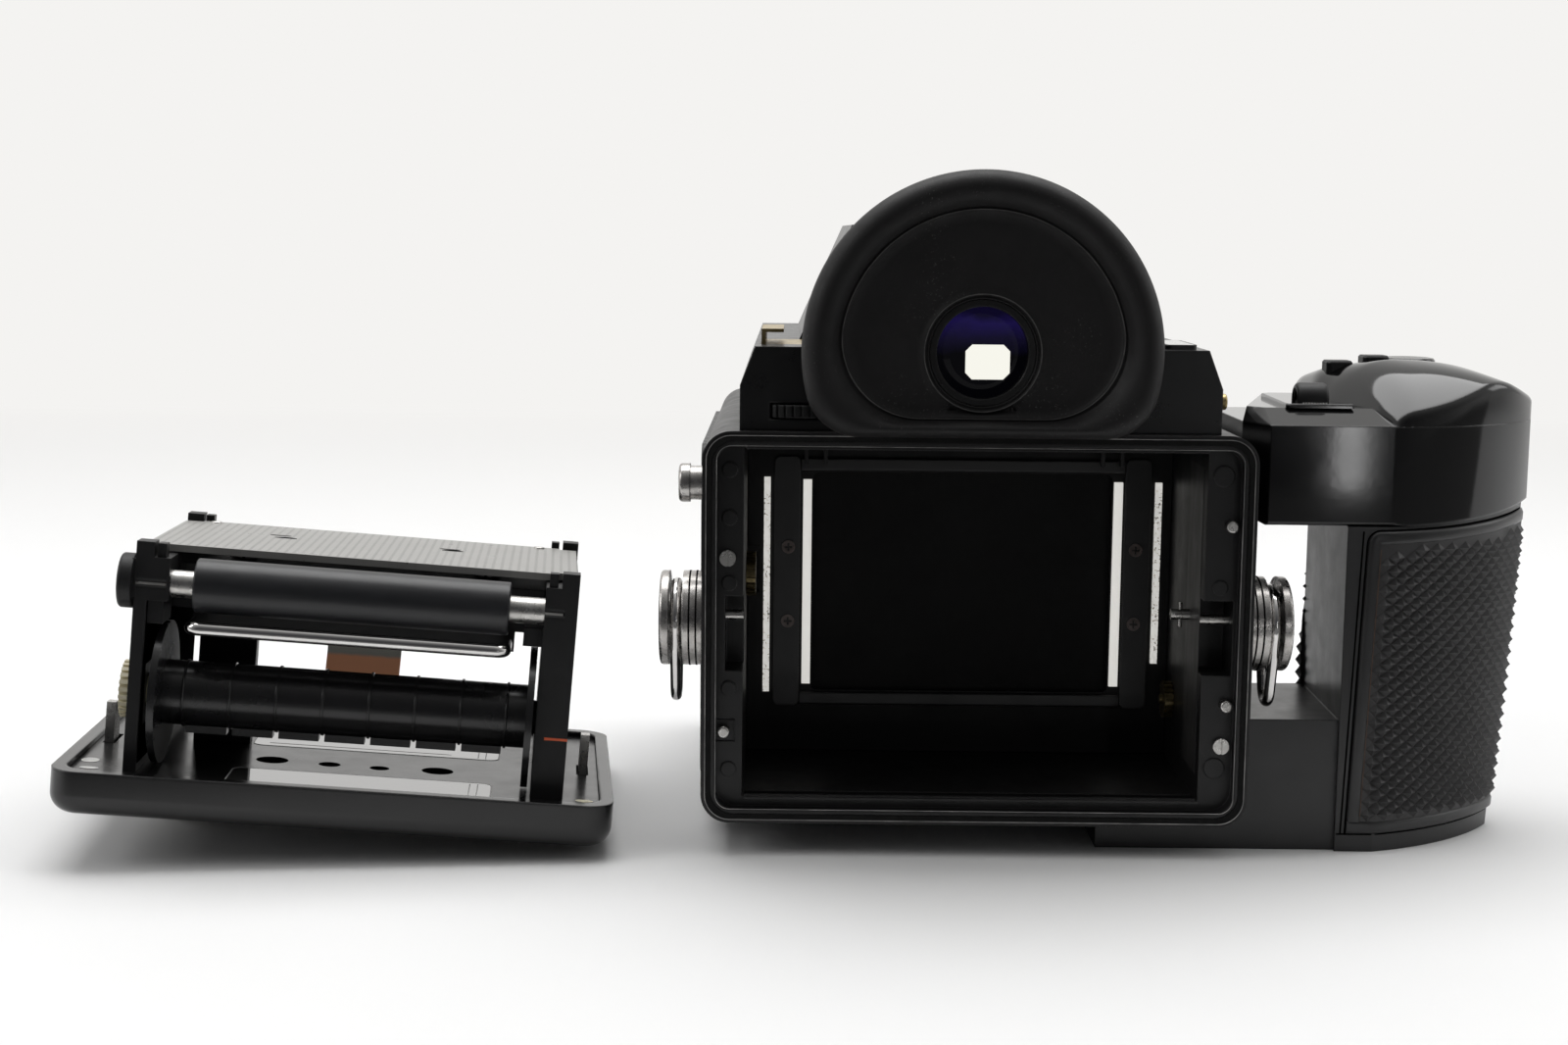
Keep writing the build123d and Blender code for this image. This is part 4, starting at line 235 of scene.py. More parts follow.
mark_orange = finish("mark_orange", (0.55, 0.07, 0.015), (0.7, 0.12, 0.03), (0.35, 0.45), 0.3, 0.004, 2.0)
display_glass = finish("display_glass", (0.16, 0.17, 0.15), (0.24, 0.25, 0.22),
                       (0.08, 0.16), 0.6, 0.002, 4.0, coat=0.5)


def curtain_material():
    """Rubberised cloth with a fine weave."""
    mat, tree, shader = new_material("curtain_cloth")
    vector = coordinates(tree)
    clouds = noise(tree, vector, 12.0, 4)
    feed(tree, shader, {"Base Color": ramp(tree, clouds, ((0.3, 0.003), (0.7, 0.006))),
                        "Roughness": 0.75, "Specular IOR Level": 0.25})
    threads = []
    for axis in ("X", "Z"):
        values = {"Vector": vector, "Scale": 700.0, "Distortion": 0.6}
        wave = add(tree, "TexWave", values, wave_type="BANDS", bands_direction=axis)
        threads.append(wave.outputs["Fac"])
    bump(tree, shader, maths(tree, "MAXIMUM", *threads), 0.02)
    return mat


PEBBLE_SIZE = 1.1


def leather_material():
    """Black leatherette with raised pebbles."""
    mat, tree, shader = new_material("leatherette")
    values = {"Vector": coordinates(tree), "Scale": 1 / (PEBBLE_SIZE * MM)}
    pebbles = add(tree, "TexVoronoi", values, feature="SMOOTH_F1").outputs["Distance"]
    feed(tree, shader, {"Base Color": ramp(tree, pebbles, ((0.1, 0.014), (0.8, 0.006))),
                        "Roughness": ramp(tree, pebbles, ((0.1, 0.32), (0.8, 0.55)))})
    bump(tree, shader, maths(tree, "SUBTRACT", 1.0, pebbles), 0.25)
    return mat


RAIL_SPLIT_X = 33.0


def rail_material():
    """Pale rails that glow as a painted highlight; the outer pair, further from the axis, is worn and
    speckled, and glows less where worn.
    """
    mat, tree, shader = new_material("pale_rails_painted_glow")
    vector = coordinates(tree)
    aside = maths(tree, "ABSOLUTE", split_xyz(tree, vector)["X"])
    outer = maths(tree, "GREATER_THAN", aside, RAIL_SPLIT_X * MM)
    specks = ramp(tree, noise(tree, vector, 0.5, 3, 0.75), ((0.48, 0.0), (0.6, 1.0)))
    blotch = ramp(tree, noise(tree, vector, 4.0, 2), ((0.35, 0.1), (0.6, 1.0)))
    worn = maths(tree, "MULTIPLY", maths(tree, "MULTIPLY", specks, blotch), outer)
    feed(tree, shader, {"Base Color": mix(tree, worn, (0.82, 0.81, 0.78), (0.14, 0.12, 0.10)),
                        "Roughness": ramp(tree, worn, ((0.0, 0.35), (1.0, 0.6))),
                        # Painted highlight: the rails emit a pale glow, dimmer on the worn specks.
                        "Emission Color": mix(tree, worn, (0.55, 0.54, 0.51), (0.05, 0.045, 0.04)),
                        "Emission Strength": 1.0})
    bump(tree, shader, worn, 0.01)
    return mat


DIMPLE_PITCH = 1.5


def pressure_plate_material():
    """Satin plate with rows of tiny dimples; its grey base colour is a painted reflection of the bright
    backdrop, and the dimples are coloured near black as painted shade in their hollows.
    """
    mat, tree, shader = new_material("dimpled_plate_painted_sheen_and_shade")
    vector = back_coordinates(tree)
    split = split_xyz(tree, vector)
    squares = []
    for axis in ("X", "Y"):
        share = maths(tree, "DIVIDE", split[axis], DIMPLE_PITCH * MM)
        offset = maths(tree, "SUBTRACT", maths(tree, "FRACT", share), 0.5)
        squares.append(maths(tree, "MULTIPLY", offset, offset))
    distance = maths(tree, "SQRT", maths(tree, "ADD", *squares))
    dimple = ramp(tree, distance, ((0.14, 0.0), (0.24, 1.0)))
    patches = noise(tree, vector, 11.0, 4)
    # Painted reflection: the grey patches stand in for the backdrop's sheen at a grazing angle.
    base = ramp(tree, patches, ((0.3, (0.30, 0.295, 0.28)), (0.7, (0.36, 0.355, 0.34))))
    # Painted shade: the dimples are coloured near black.
    feed(tree, shader, {"Base Color": mix(tree, dimple, (0.06, 0.06, 0.058), base),
                        "Roughness": ramp(tree, patches, ((0.3, 0.26), (0.7, 0.36))), "Metallic": 0.5})
    bump(tree, shader, dimple, 0.1)
    return mat


LEAF_HEIGHT = 30.0


def leaf_material():
    """Spring leaf: bright copper below a dull steel upper part, both given a faint glow in their own
    colours as painted light.
    """
    mat, tree, shader = new_material("copper_leaf_painted_glow")
    vector = back_coordinates(tree)
    height = maths(tree, "DIVIDE", split_xyz(tree, vector)["Z"], LEAF_HEIGHT * MM)
    clouds = maths(tree, "MULTIPLY", noise(tree, vector, 3.0, 3), 0.02)
    level = maths(tree, "ADD", height, clouds)
    colour = ramp(tree, level, ((0.54, (0.7, 0.33, 0.19)), (0.56, (0.3, 0.3, 0.27))))
    # Painted light: the leaf emits its own colour faintly.
    feed(tree, shader, {"Base Color": colour, "Emission Color": colour, "Emission Strength": 0.13,
                        "Roughness": ramp(tree, clouds, ((0.0, 0.3), (1.0, 0.45))), "Metallic": 0.2})
    return mat


# The eye's axis, the eye lens and the bright finder image seen in it, painted on as a glow
EYE_X = -0.8
EYE_Z = 88.2
EYE_LENS_RADIUS = 7.6
WINDOW_X = 0.2
WINDOW_Z = 86.6
WINDOW_HALF_WIDTH = 3.7
WINDOW_HALF_HEIGHT = 2.9
WINDOW_CUT = 5.5


def eye_lens_material():
    """The coated eye lens: a purple sheen painted on above, fading to black below, as painted reflection
    of the coating; the finder's bright image glows on it as painted light.
    """
    mat, tree, shader = new_material("eye_lens_painted_sheen_and_glow")
    vector = coordinates(tree)
    split = split_xyz(tree, vector)
    cloud = maths(tree, "MULTIPLY", noise(tree, vector, 4.0, 2), 0.15)
    rise = maths(tree, "SUBTRACT", split["Z"], (EYE_Z - EYE_LENS_RADIUS) * MM)
    height = maths(tree, "DIVIDE", rise, 2 * EYE_LENS_RADIUS * MM)
    level = maths(tree, "ADD", height, cloud)
    # Painted reflection: the coating's purple sheen, brightest near the top.
    painted_violet_sheen = ramp(tree, level, ((0.55, (0.0005, 0.0005, 0.001)), (0.72, (0.004, 0.003, 0.014)),
                                (0.9, (0.008, 0.005, 0.045)), (1.0, (0.003, 0.002, 0.014))))
    across = maths(tree, "ABSOLUTE", maths(tree, "SUBTRACT", split["X"], WINDOW_X * MM))
    above = maths(tree, "ABSOLUTE", maths(tree, "SUBTRACT", split["Z"], WINDOW_Z * MM))
    wide = maths(tree, "LESS_THAN", across, WINDOW_HALF_WIDTH * MM)
    tall = maths(tree, "LESS_THAN", above, WINDOW_HALF_HEIGHT * MM)
    cut = maths(tree, "LESS_THAN", maths(tree, "ADD", across, above), WINDOW_CUT * MM)
    painted_finder_glow = maths(tree, "MULTIPLY", maths(tree, "MULTIPLY", wide, tall), cut)
    feed(tree, shader, {"Base Color": painted_violet_sheen, "Roughness": ramp(tree, cloud, ((0.0, 0.04), (1.0, 0.07))),
                        # Painted light: the lens emits its sheen colour, and the finder image glows near
                        # white.
                        "Emission Color": mix(tree, painted_finder_glow, painted_violet_sheen, (0.93, 0.92, 0.84)),
                        "Emission Strength": 1.0})
    return mat


def glass_material():
    """Clear glass with the faintest drift of its gloss."""
    mat, tree, shader = new_material("clear_glass")
    drift = noise(tree, coordinates(tree), 6.0, 3)
    tint = ramp(tree, drift, ((0.3, (0.93, 0.95, 0.95)), (0.7, (0.9579, 0.9785, 0.9785))))
    feed(tree, shader, {"Base Color": tint, "Roughness": ramp(tree, drift, ((0.3, 0.021), (0.7, 0.03))),
                        "Transmission Weight": 1.0, "IOR": 1.5})
    return mat


def mirror_material():
    """Front-silvered mirror with a trace of haze."""
    mat, tree, shader = new_material("silvered_mirror")
    haze = noise(tree, coordinates(tree), 9.0, 4)
    feed(tree, shader, {"Base Color": ramp(tree, haze, ((0.3, 0.86), (0.7, 0.9))),
                        "Roughness": ramp(tree, haze, ((0.3, 0.02), (0.7, 0.06))), "Metallic": 1.0})
    return mat


curtain_cloth = curtain_material()
leatherette = leather_material()
pale_rails_painted_glow = rail_material()
dimpled_plate_painted_sheen_and_shade = pressure_plate_material()
copper = leaf_material()
eye_lens = eye_lens_material()
clear_glass = glass_material()
silvered = mirror_material()

# The CAD nodes that wear each finish
NODES_OF = (
    (satin_black, "body_casting front_plate base_plate"),
    (matt_black, "film_gate mirror_box mirror_holder"),
    (shell_black, "finder_housing eyepiece_frame drive_dial up_button down_button"),
    (gloss_black, "grip_head grip_top shutter_button main_switch"),
    (guide_black, "film_guides"),
    (smooth_grip, "grip_body"),
    (grip_rubber, "grip_pad"),
    (rubber, "eyecup"),
    (foam, "light_seal"),
    (leatherette, "side_cloth"),
    (curtain_cloth, "shutter_curtain"),
    (pale_rails_painted_glow, "film_rails"),
    (burnished, "gate_screws"),
    (clear_glass, "focusing_screen pentaprism"),
    (eye_lens, "eyepiece_lens"),
    (display_glass, "lcd_window"),
    (silvered, "reflex_mirror"),
    (brass, "hot_shoe side_button"),
    (dark_brass, "advance_gear counter_gear"),
    (chrome, "lens_mount lens_release strap_ring_left strap_ring_right guide_wire"),
    (steel, "mount_screws tripod_socket chamber_screws chamber_pins drive_coupling near_shaft"),
    (steel, "latch_key catch_prongs"),
    (dark_steel, "strap_lugs sync_terminal"),
    (cover_black, "back_shell"),
    (plate_black, "back_plate"),
    (insert_black, "insert_frame insert_side"),
    (copper, "leaf_spring"),
    (dimpled_plate_painted_sheen_and_shade, "pressure_plate"),
    (roller_rubber, "near_roller far_roller"),
    (spool_black, "take_up_spool"),
    (cream, "spool_gear"),
)
for material, node_names in NODES_OF:
    for node_name in node_names.split():
        materials = nodes[node_name].data.materials
        materials.clear()
        materials.append(material)

# The near shaft's knob is black, outside the insert's left wall
KNOB_INNER_X = -36.5 * MM
shaft_mesh = nodes["near_shaft"].data
shaft_mesh.materials.append(insert_black)
to_back = BACK_MATRIX.inverted()
for polygon in shaft_mesh.polygons:
    if (to_back @ polygon.center).x < KNOB_INNER_X:
        polygon.material_index = 1

# Bodies whose pieces are given in the film back's own frame
BACK_BODIES = ("film_back", "take_up", "pressure_plate")


# Mesh helpers, in millimetres
def piece(name, points, faces, material, body="camera_body", smooth=True):
    """A new object that rides on a body."""
    mesh = bpy.data.meshes.new(name)
    verts = [Vector(p) * MM for p in points]
    if body in BACK_BODIES:
        verts = [BACK_MATRIX @ v for v in verts]
    mesh.from_pydata(verts, [], faces)
    mesh.validate()
    mesh.materials.append(material)
    for face in mesh.polygons:
        face.use_smooth = smooth
    obj = bpy.data.objects.new(name, mesh)
    scene.collection.objects.link(obj)
    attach(obj, body)
    return obj


def grid_faces(rows, columns, closed=False):
    """Faces of a grid of points, row after row; closed joins the last column to the first."""
    faces = []
    for r in range(rows - 1):
        for c in range(columns if closed else columns - 1):
            n = (c + 1) % columns
            faces.append((r * columns + c, r * columns + n, (r + 1) * columns + n, (r + 1) * columns + c))
    return faces


def blocks(name, boxes, material, body="camera_body"):
    """Several plain boxes, given by two opposite corners each, as one piece."""
    points, faces = [], []
    for low, high in boxes:
        first = len(points)
        points += [(x, y, z) for x in (low[0], high[0]) for y in (low[1], high[1])
                   for z in (low[2], high[2])]
        sides = ((0, 1, 3, 2), (4, 6, 7, 5), (0, 4, 5, 1), (2, 3, 7, 6), (0, 2, 6, 4), (1, 5, 7, 3))
        faces += [tuple(first + i for i in side) for side in sides]
    return piece(name, points, faces, material, body, smooth=False)


def circle(centre, radii, count):
    """Points round a circle, or round an ellipse where radii is a pair."""
    wide, tall = radii if isinstance(radii, tuple) else (radii, radii)
    angles = [2 * math.pi * i / count for i in range(count)]
    return [(centre[0] + wide * math.cos(a), centre[1] + tall * math.sin(a)) for a in angles]


def rounded_box(low, high, corner, steps, inset=0.0):
    """The outline of a rectangle drawn in by inset, each round corner in steps."""
    centres = ((high[0] - corner, high[1] - corner), (low[0] + corner, high[1] - corner),
               (low[0] + corner, low[1] + corner), (high[0] - corner, low[1] + corner))
    radius = corner - inset
    outline = []
    for quarter, (x, y) in enumerate(centres):
        for i in range(steps + 1):
            a = math.radians(90 * quarter + 90 * i / steps)
            outline.append((x + radius * math.cos(a), y + radius * math.sin(a)))
    return outline


def turned(name, axis_place, profile, material, body="camera_body", segments=64):
    """A piece turned about an axis along X: profile lists (x, radius), axis_place is (y, z)."""
    points = [(x, y, z) for x, radius in profile for y, z in circle(axis_place, radius, segments)]
    return piece(name, points, grid_faces(len(profile), segments, True), material, body)


def arc_points(start, middle, end, count):
    """Points along the circle through three places in a plane."""
    (ax, ay), (bx, by), (cx, cy) = start, middle, end
    d = 2 * (ax * (by - cy) + bx * (cy - ay) + cx * (ay - by))
    ux = ((ax**2 + ay**2) * (by - cy) + (bx**2 + by**2) * (cy - ay) + (cx**2 + cy**2) * (ay - by)) / d
    uy = ((ax**2 + ay**2) * (cx - bx) + (bx**2 + by**2) * (ax - cx) + (cx**2 + cy**2) * (bx - ax)) / d
    radius = math.hypot(ax - ux, ay - uy)
    angles = [math.atan2(y - uy, x - ux) for x, y in (start, middle, end)]
    sweep = (angles[2] - angles[0]) % (2 * math.pi)
    if (angles[1] - angles[0]) % (2 * math.pi) > sweep:
        sweep -= 2 * math.pi
    steps = [angles[0] + sweep * i / count for i in range(count + 1)]
    return [(ux + radius * math.cos(a), uy + radius * math.sin(a)) for a in steps]


# Rubber eyecup: a thick rounded lip round a flat face with thin pale lines
EYECUP_RADIUS = 29.95
EYECUP_BOTTOM_Z = 74.1
CUP_STEPS = 192


def cup_radius(angle, inset, low_inset, corner):
    """The distance from the eye's axis to the D outline, drawn in by the insets."""
    radius = EYECUP_RADIUS - inset
    low = EYE_Z - EYECUP_BOTTOM_Z - low_inset
    centre_z = corner - low
    centre_x = math.sqrt((radius - corner) ** 2 - centre_z**2)
    dx, dz = abs(math.cos(angle)), math.sin(angle)
    if dz < 0 and -low * dx / dz <= centre_x:
        return -low / dz
    if math.atan2(dz, dx) >= math.atan2(centre_z, centre_x):
        return radius
    along = dx * centre_x + dz * centre_z
    return along + math.sqrt(along**2 - centre_x**2 - centre_z**2 + corner**2)


def round_eye(radius_at, y):
    """A ring of points about the eye's axis, at the radius that radius_at gives for an angle."""
    points = []
    for i in range(CUP_STEPS):
        a = 2 * math.pi * i / CUP_STEPS
        points.append((EYE_X + radius_at(a) * math.cos(a), y, EYE_Z + radius_at(a) * math.sin(a)))
    return points


def eyecup_mesh():
    """Outlines (inset, inset below, corner, y) over the lip, then circles (radius, y) to the eye."""
    lip = [
        (7.0, 7.0, 5.5, -60.0), (4.0, 4.0, 7.0, -63.0), (1.2, 1.2, 8.4, -65.6), (0.3, 0.3, 8.9, -67.0),
        (0.0, 0.0, 9.0, -68.6), (0.2, 0.15, 9.0, -69.8), (0.8, 0.6, 9.0, -70.9), (1.6, 1.1, 9.2, -71.6),
        (2.7, 1.6, 9.6, -72.0), (3.7, 2.0, 10.4, -71.85), (4.6, 2.4, 11.2, -71.35),
        (5.3, 2.7, 12.0, -70.6), (5.8, 2.9, 12.5, -69.8), (6.1, 3.0, 12.8, -69.25),
        (6.25, 3.1, 13.0, -69.15), (6.35, 3.15, 13.0, -69.5), (6.6, 3.3, 13.0, -69.52),
        (6.72, 3.4, 13.0, -69.1), (7.0, 3.7, 12.8, -68.85), (8.6, 4.6, 12.0, -68.65),
    ]
    rings = [
        (11.2, -68.65), (10.0, -68.65), (9.9, -68.95), (9.65, -69.0), (9.5, -68.9), (9.45, -68.6),
        (9.2, -68.55), (9.1, -68.75), (8.95, -68.75), (8.85, -68.5), (8.85, -60.5),
    ]
    points = []
    for inset, low_inset, corner, y in lip:
        points += round_eye(lambda a: cup_radius(a, inset, low_inset, corner), y)
    for radius, y in rings:
        points += round_eye(lambda a: radius, y)
    faces = grid_faces(len(lip) + len(rings), CUP_STEPS, True)
    obj = piece("eyecup_soft", points, faces, rubber)
    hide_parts("eyecup")


def cup_line(name, outer, inner, y):
    """A thin pale line on the eyecup between two outlines, each a function of the angle."""
    points = round_eye(outer, y) + round_eye(inner, y)
    piece(name, points, grid_faces(2, CUP_STEPS, True), pale_line_finish)


eyecup_mesh()
cup_line("eyecup_line_outer", lambda a: cup_radius(a, 6.38, 3.2, 13.0),
         lambda a: cup_radius(a, 6.56, 3.3, 13.0), -69.56)
cup_line("eyecup_line_inner", lambda a: 9.78, lambda a: 9.6, -69.03)

# Rim: thin bright lines along its outer edge and its lip, painted highlights
BODY_HALF_WIDTH = 47.4
RIM_LOW_Z = 5.8
RIM_HIGH_Z = 74.1
RIM_CORNER = 5.0


def rim_line(name, inset, width, y):
    """A pale line of the width given, drawn in from the rim's outline by inset, as a painted highlight."""
    low, high = (-BODY_HALF_WIDTH, RIM_LOW_Z), (BODY_HALF_WIDTH, RIM_HIGH_Z)
    outer = rounded_box(low, high, RIM_CORNER, 9, inset)
    inner = rounded_box(low, high, RIM_CORNER, 9, inset + width)
    points = [(x, y, z) for x, z in outer + inner]
    piece(name, points, grid_faces(2, len(outer), True), rim_painted_highlight)


rim_line("rim_line_outer", 0.62, 0.14, -60.3)
rim_line("rim_line_inner", 2.42, 0.12, -60.03)

# The grip column's outline from above, tapering from its head to the table
HEAD_TOP_Z = 75.4
GRIP_REAR_Y = -53.5
GRIP_INNER_X = 64.5
GRIP_CORNER_X = 72.0
GRIP_OUTER = (101.7, -34.0)
REAR_BULGE = (91.0, -45.7)
FRONT_BULGE = (97.4, -17.5)
GRIP_NOSE = (86.0, -8.5)
GAP_FRONT = (65.5, -20.0)
BASE_SHARE = 0.88
PAD_LOW_Z = 5.5
PAD_TOP_Z = 55.0
PAD_TOP_SLOPE = 0.1
PAD_LEFT_X = 70.3
PAD_LEAN = 1.9
PAD_LEAD = 4.0


def outline_at(z):
    """The column's outline at a height, from just left of the pad round to the hand gap's rear edge."""
    share = BASE_SHARE + (1 - BASE_SHARE) * z / HEAD_TOP_Z

    def place(x, y):
        return GRIP_INNER_X + (x - GRIP_INNER_X) * share, GRIP_OUTER[1] + (y - GRIP_OUTER[1]) * share

    corner = (GRIP_INNER_X + (GRIP_CORNER_X - GRIP_INNER_X) * share, GRIP_REAR_Y)
    gap = (GRIP_INNER_X + (GAP_FRONT[0] - GRIP_INNER_X) * share, GAP_FRONT[1])
    start = PAD_LEFT_X - PAD_LEAN * (1 - z / PAD_TOP_Z) - PAD_LEAD
    outer, nose = place(*GRIP_OUTER), place(*GRIP_NOSE)
    path = [(start, GRIP_REAR_Y), ((start + corner[0]) / 2, GRIP_REAR_Y)]
    path += arc_points(corner, place(*REAR_BULGE), outer, 24)
    path += arc_points(outer, place(*FRONT_BULGE), nose, 20)[1:]
    path += [tuple(nose[k] + (gap[k] - nose[k]) * i / 12 for k in (0, 1)) for i in range(1, 13)]
    path += [(GRIP_INNER_X, GRIP_REAR_Y)]
    return path


OUTLINES = {}
TANGENT_REACH = 0.6


def on_column(along, z, lift):
    """A point on the column, along mm from the pad's left edge, raised by lift from its surface."""
    key = round(z, 3)
    if key not in OUTLINES:
        path = outline_at(z)
        lengths = [0.0]
        for a, b in zip(path, path[1:]):
            lengths.append(lengths[-1] + math.dist(a, b))
        OUTLINES[key] = (path, lengths)
    path, lengths = OUTLINES[key]

    def at(distance):
        i = 0
        while i < len(path) - 2 and lengths[i + 1] < distance:
            i += 1
        t = (distance - lengths[i]) / (lengths[i + 1] - lengths[i])
        return [path[i][k] + (path[i + 1][k] - path[i][k]) * t for k in (0, 1)]

    here = at(along + PAD_LEAD)
    before = at(along + PAD_LEAD - TANGENT_REACH)
    after = at(along + PAD_LEAD + TANGENT_REACH)
    tangent = Vector((after[0] - before[0], after[1] - before[1])).normalized()
    return here[0] + tangent.y * lift, here[1] - tangent.x * lift, z


def pad_top(along):
    """The height of the pad's slanting top edge."""
    return PAD_TOP_Z + PAD_TOP_SLOPE * (on_column(along, PAD_TOP_Z, 0)[1] - GRIP_REAR_Y)


# The pad ends where the column meets the hand gap, measured half-way up
middle_path = outline_at(30.0)[:-1]
middle_length = sum(math.dist(a, b) for a, b in zip(middle_path, middle_path[1:]))
PAD_LENGTH = middle_length - PAD_LEAD + 0.6


# Rubber pad of staggered rhombic pyramids
def pad_mesh():
    """The pad's sheet with its turned-down edge, then the pyramids row by row from below."""
    width, height = 3.2, 2.35
    base_lift, tip_lift, edge_lift = 0.45, 1.3, -0.2
    edge_room, end_room, top_room = 1.3, 0.2, 6
    rows, columns = 12, 64

    def on_sheet(r, c, lift):
        along = PAD_LENGTH * c / columns
        return on_column(along, PAD_LOW_Z + (pad_top(along) - PAD_LOW_Z) * r / rows, lift)

    points = [on_sheet(r, c, base_lift) for r in range(rows + 1) for c in range(columns + 1)]
    faces = grid_faces(rows + 1, columns + 1)
    border = [(0, c) for c in range(columns + 1)] + [(r, columns) for r in range(1, rows + 1)]
    border += [(rows, c) for c in reversed(range(columns))] + [(r, 0) for r in reversed(range(1, rows))]
    first = len(points)
    points += [on_sheet(r, c, edge_lift) for r, c in border]
    indices = [r * (columns + 1) + c for r, c in border]
    for i, index in enumerate(indices):
        n = (i + 1) % len(indices)
        faces.append((index, first + i, first + n, indices[n]))
    row = 0
    z = PAD_LOW_Z + edge_room
    while z < PAD_TOP_Z + top_room:
        along = edge_room + (width / 2 if row % 2 else 0.0)
        while along < PAD_LENGTH - end_room:
            if z < pad_top(along) - edge_room:
                first = len(points)
                left = max(along - width / 2, 0.1)
                rim = ((left, z), (along, z - height / 2), (along + width / 2, z), (along, z + height / 2))
                points += [on_column(*place, base_lift) for place in rim]
                points.append(on_column(along, z, tip_lift))
                faces += [(first + i, first + (i + 1) % 4, first + 4) for i in range(4)]
            along += width
        z += height / 2
        row += 1
    obj = piece("grip_pad_diamonds", points, faces, grip_rubber, smooth=False)
    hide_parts("grip_pad")


pad_mesh()


# Smooth frame round the pad and the dark seams beside it
def pad_frame():
    """A rounded moulding beside and above the pad, and the same below it."""
    section = ((-0.05, 0.2), (0.0, 0.55), (0.3, 0.68), (1.6, 0.66), (2.0, 0.5), (2.2, 0.15), (2.2, -0.2))
    width = section[-1][0]
    low, end = PAD_LOW_Z, PAD_LENGTH
    path = [((0.0, low + (pad_top(0) - low) * i / 10), (-1.0, 0.0)) for i in range(11)]
    for i in range(1, 8):
        a = math.radians(90) * i / 7
        path.append(((0.0, pad_top(0)), (-math.cos(a), math.sin(a))))
    path += [((end * i / 60, pad_top(end * i / 60)), (0.0, 1.0)) for i in range(1, 61)]
    points = []
    for (along, z), (out_along, out_z) in path:
        for out, lift in section:
            points.append(on_column(along + out_along * out, z + out_z * out, lift))
    piece("pad_frame_top", points, grid_faces(len(path), len(section)), smooth_grip)
    points = []
    lowest = [(-width + (end + width) * i / 64, low) for i in range(65)]
    for along, z in lowest:
        for out, lift in section:
            points.append(on_column(along, z - out, lift))
    piece("pad_frame_low", points, grid_faces(len(lowest), len(section)), smooth_grip)


def seam(name, path, width, lift, material):
    """A thin line on the column through places given as (along, z)."""
    points = []
    for i, (along, z) in enumerate(path):
        a, b = path[max(i - 1, 0)], path[min(i + 1, len(path) - 1)]
        step = Vector((b[0] - a[0], b[1] - a[1])).normalized() * width / 2
        points.append(on_column(along - step.y, z + step.x, lift))
        points.append(on_column(along + step.y, z - step.x, lift))
    piece(name, points, grid_faces(len(path), 2), material)


pad_frame()
SEAM_OUT = 2.35
SEAM_LIFT = 0.06
SEAM_Z = PAD_LOW_Z - SEAM_OUT
CORNER_Z = pad_top(0)
seam("seam_base", [(-PAD_LEAD + 0.2 + i * 1.5, SEAM_Z) for i in range(60)], 0.3, SEAM_LIFT, line_black)
seam("seam_outer", [(-3.1, SEAM_Z + i * 1.8) for i in range(31)], 0.3, SEAM_LIFT, line_black)
inner_run = [(-SEAM_OUT, SEAM_Z + (CORNER_Z - SEAM_Z) * i / 24) for i in range(25)]
for i in range(1, 7):
    a = math.radians(15 * i)
    inner_run.append((-SEAM_OUT * math.cos(a), CORNER_Z + SEAM_OUT * math.sin(a)))
inner_run += [(1.5 * i, pad_top(1.5 * i) + SEAM_OUT) for i in range(1, 56)]
seam("seam_inner", inner_run, 0.25, SEAM_LIFT, line_black)
seam("pad_glue", [(-0.02, PAD_LOW_Z + 1 + i * 1.7) for i in range(29)], 0.16, 0.7, glue_brown)


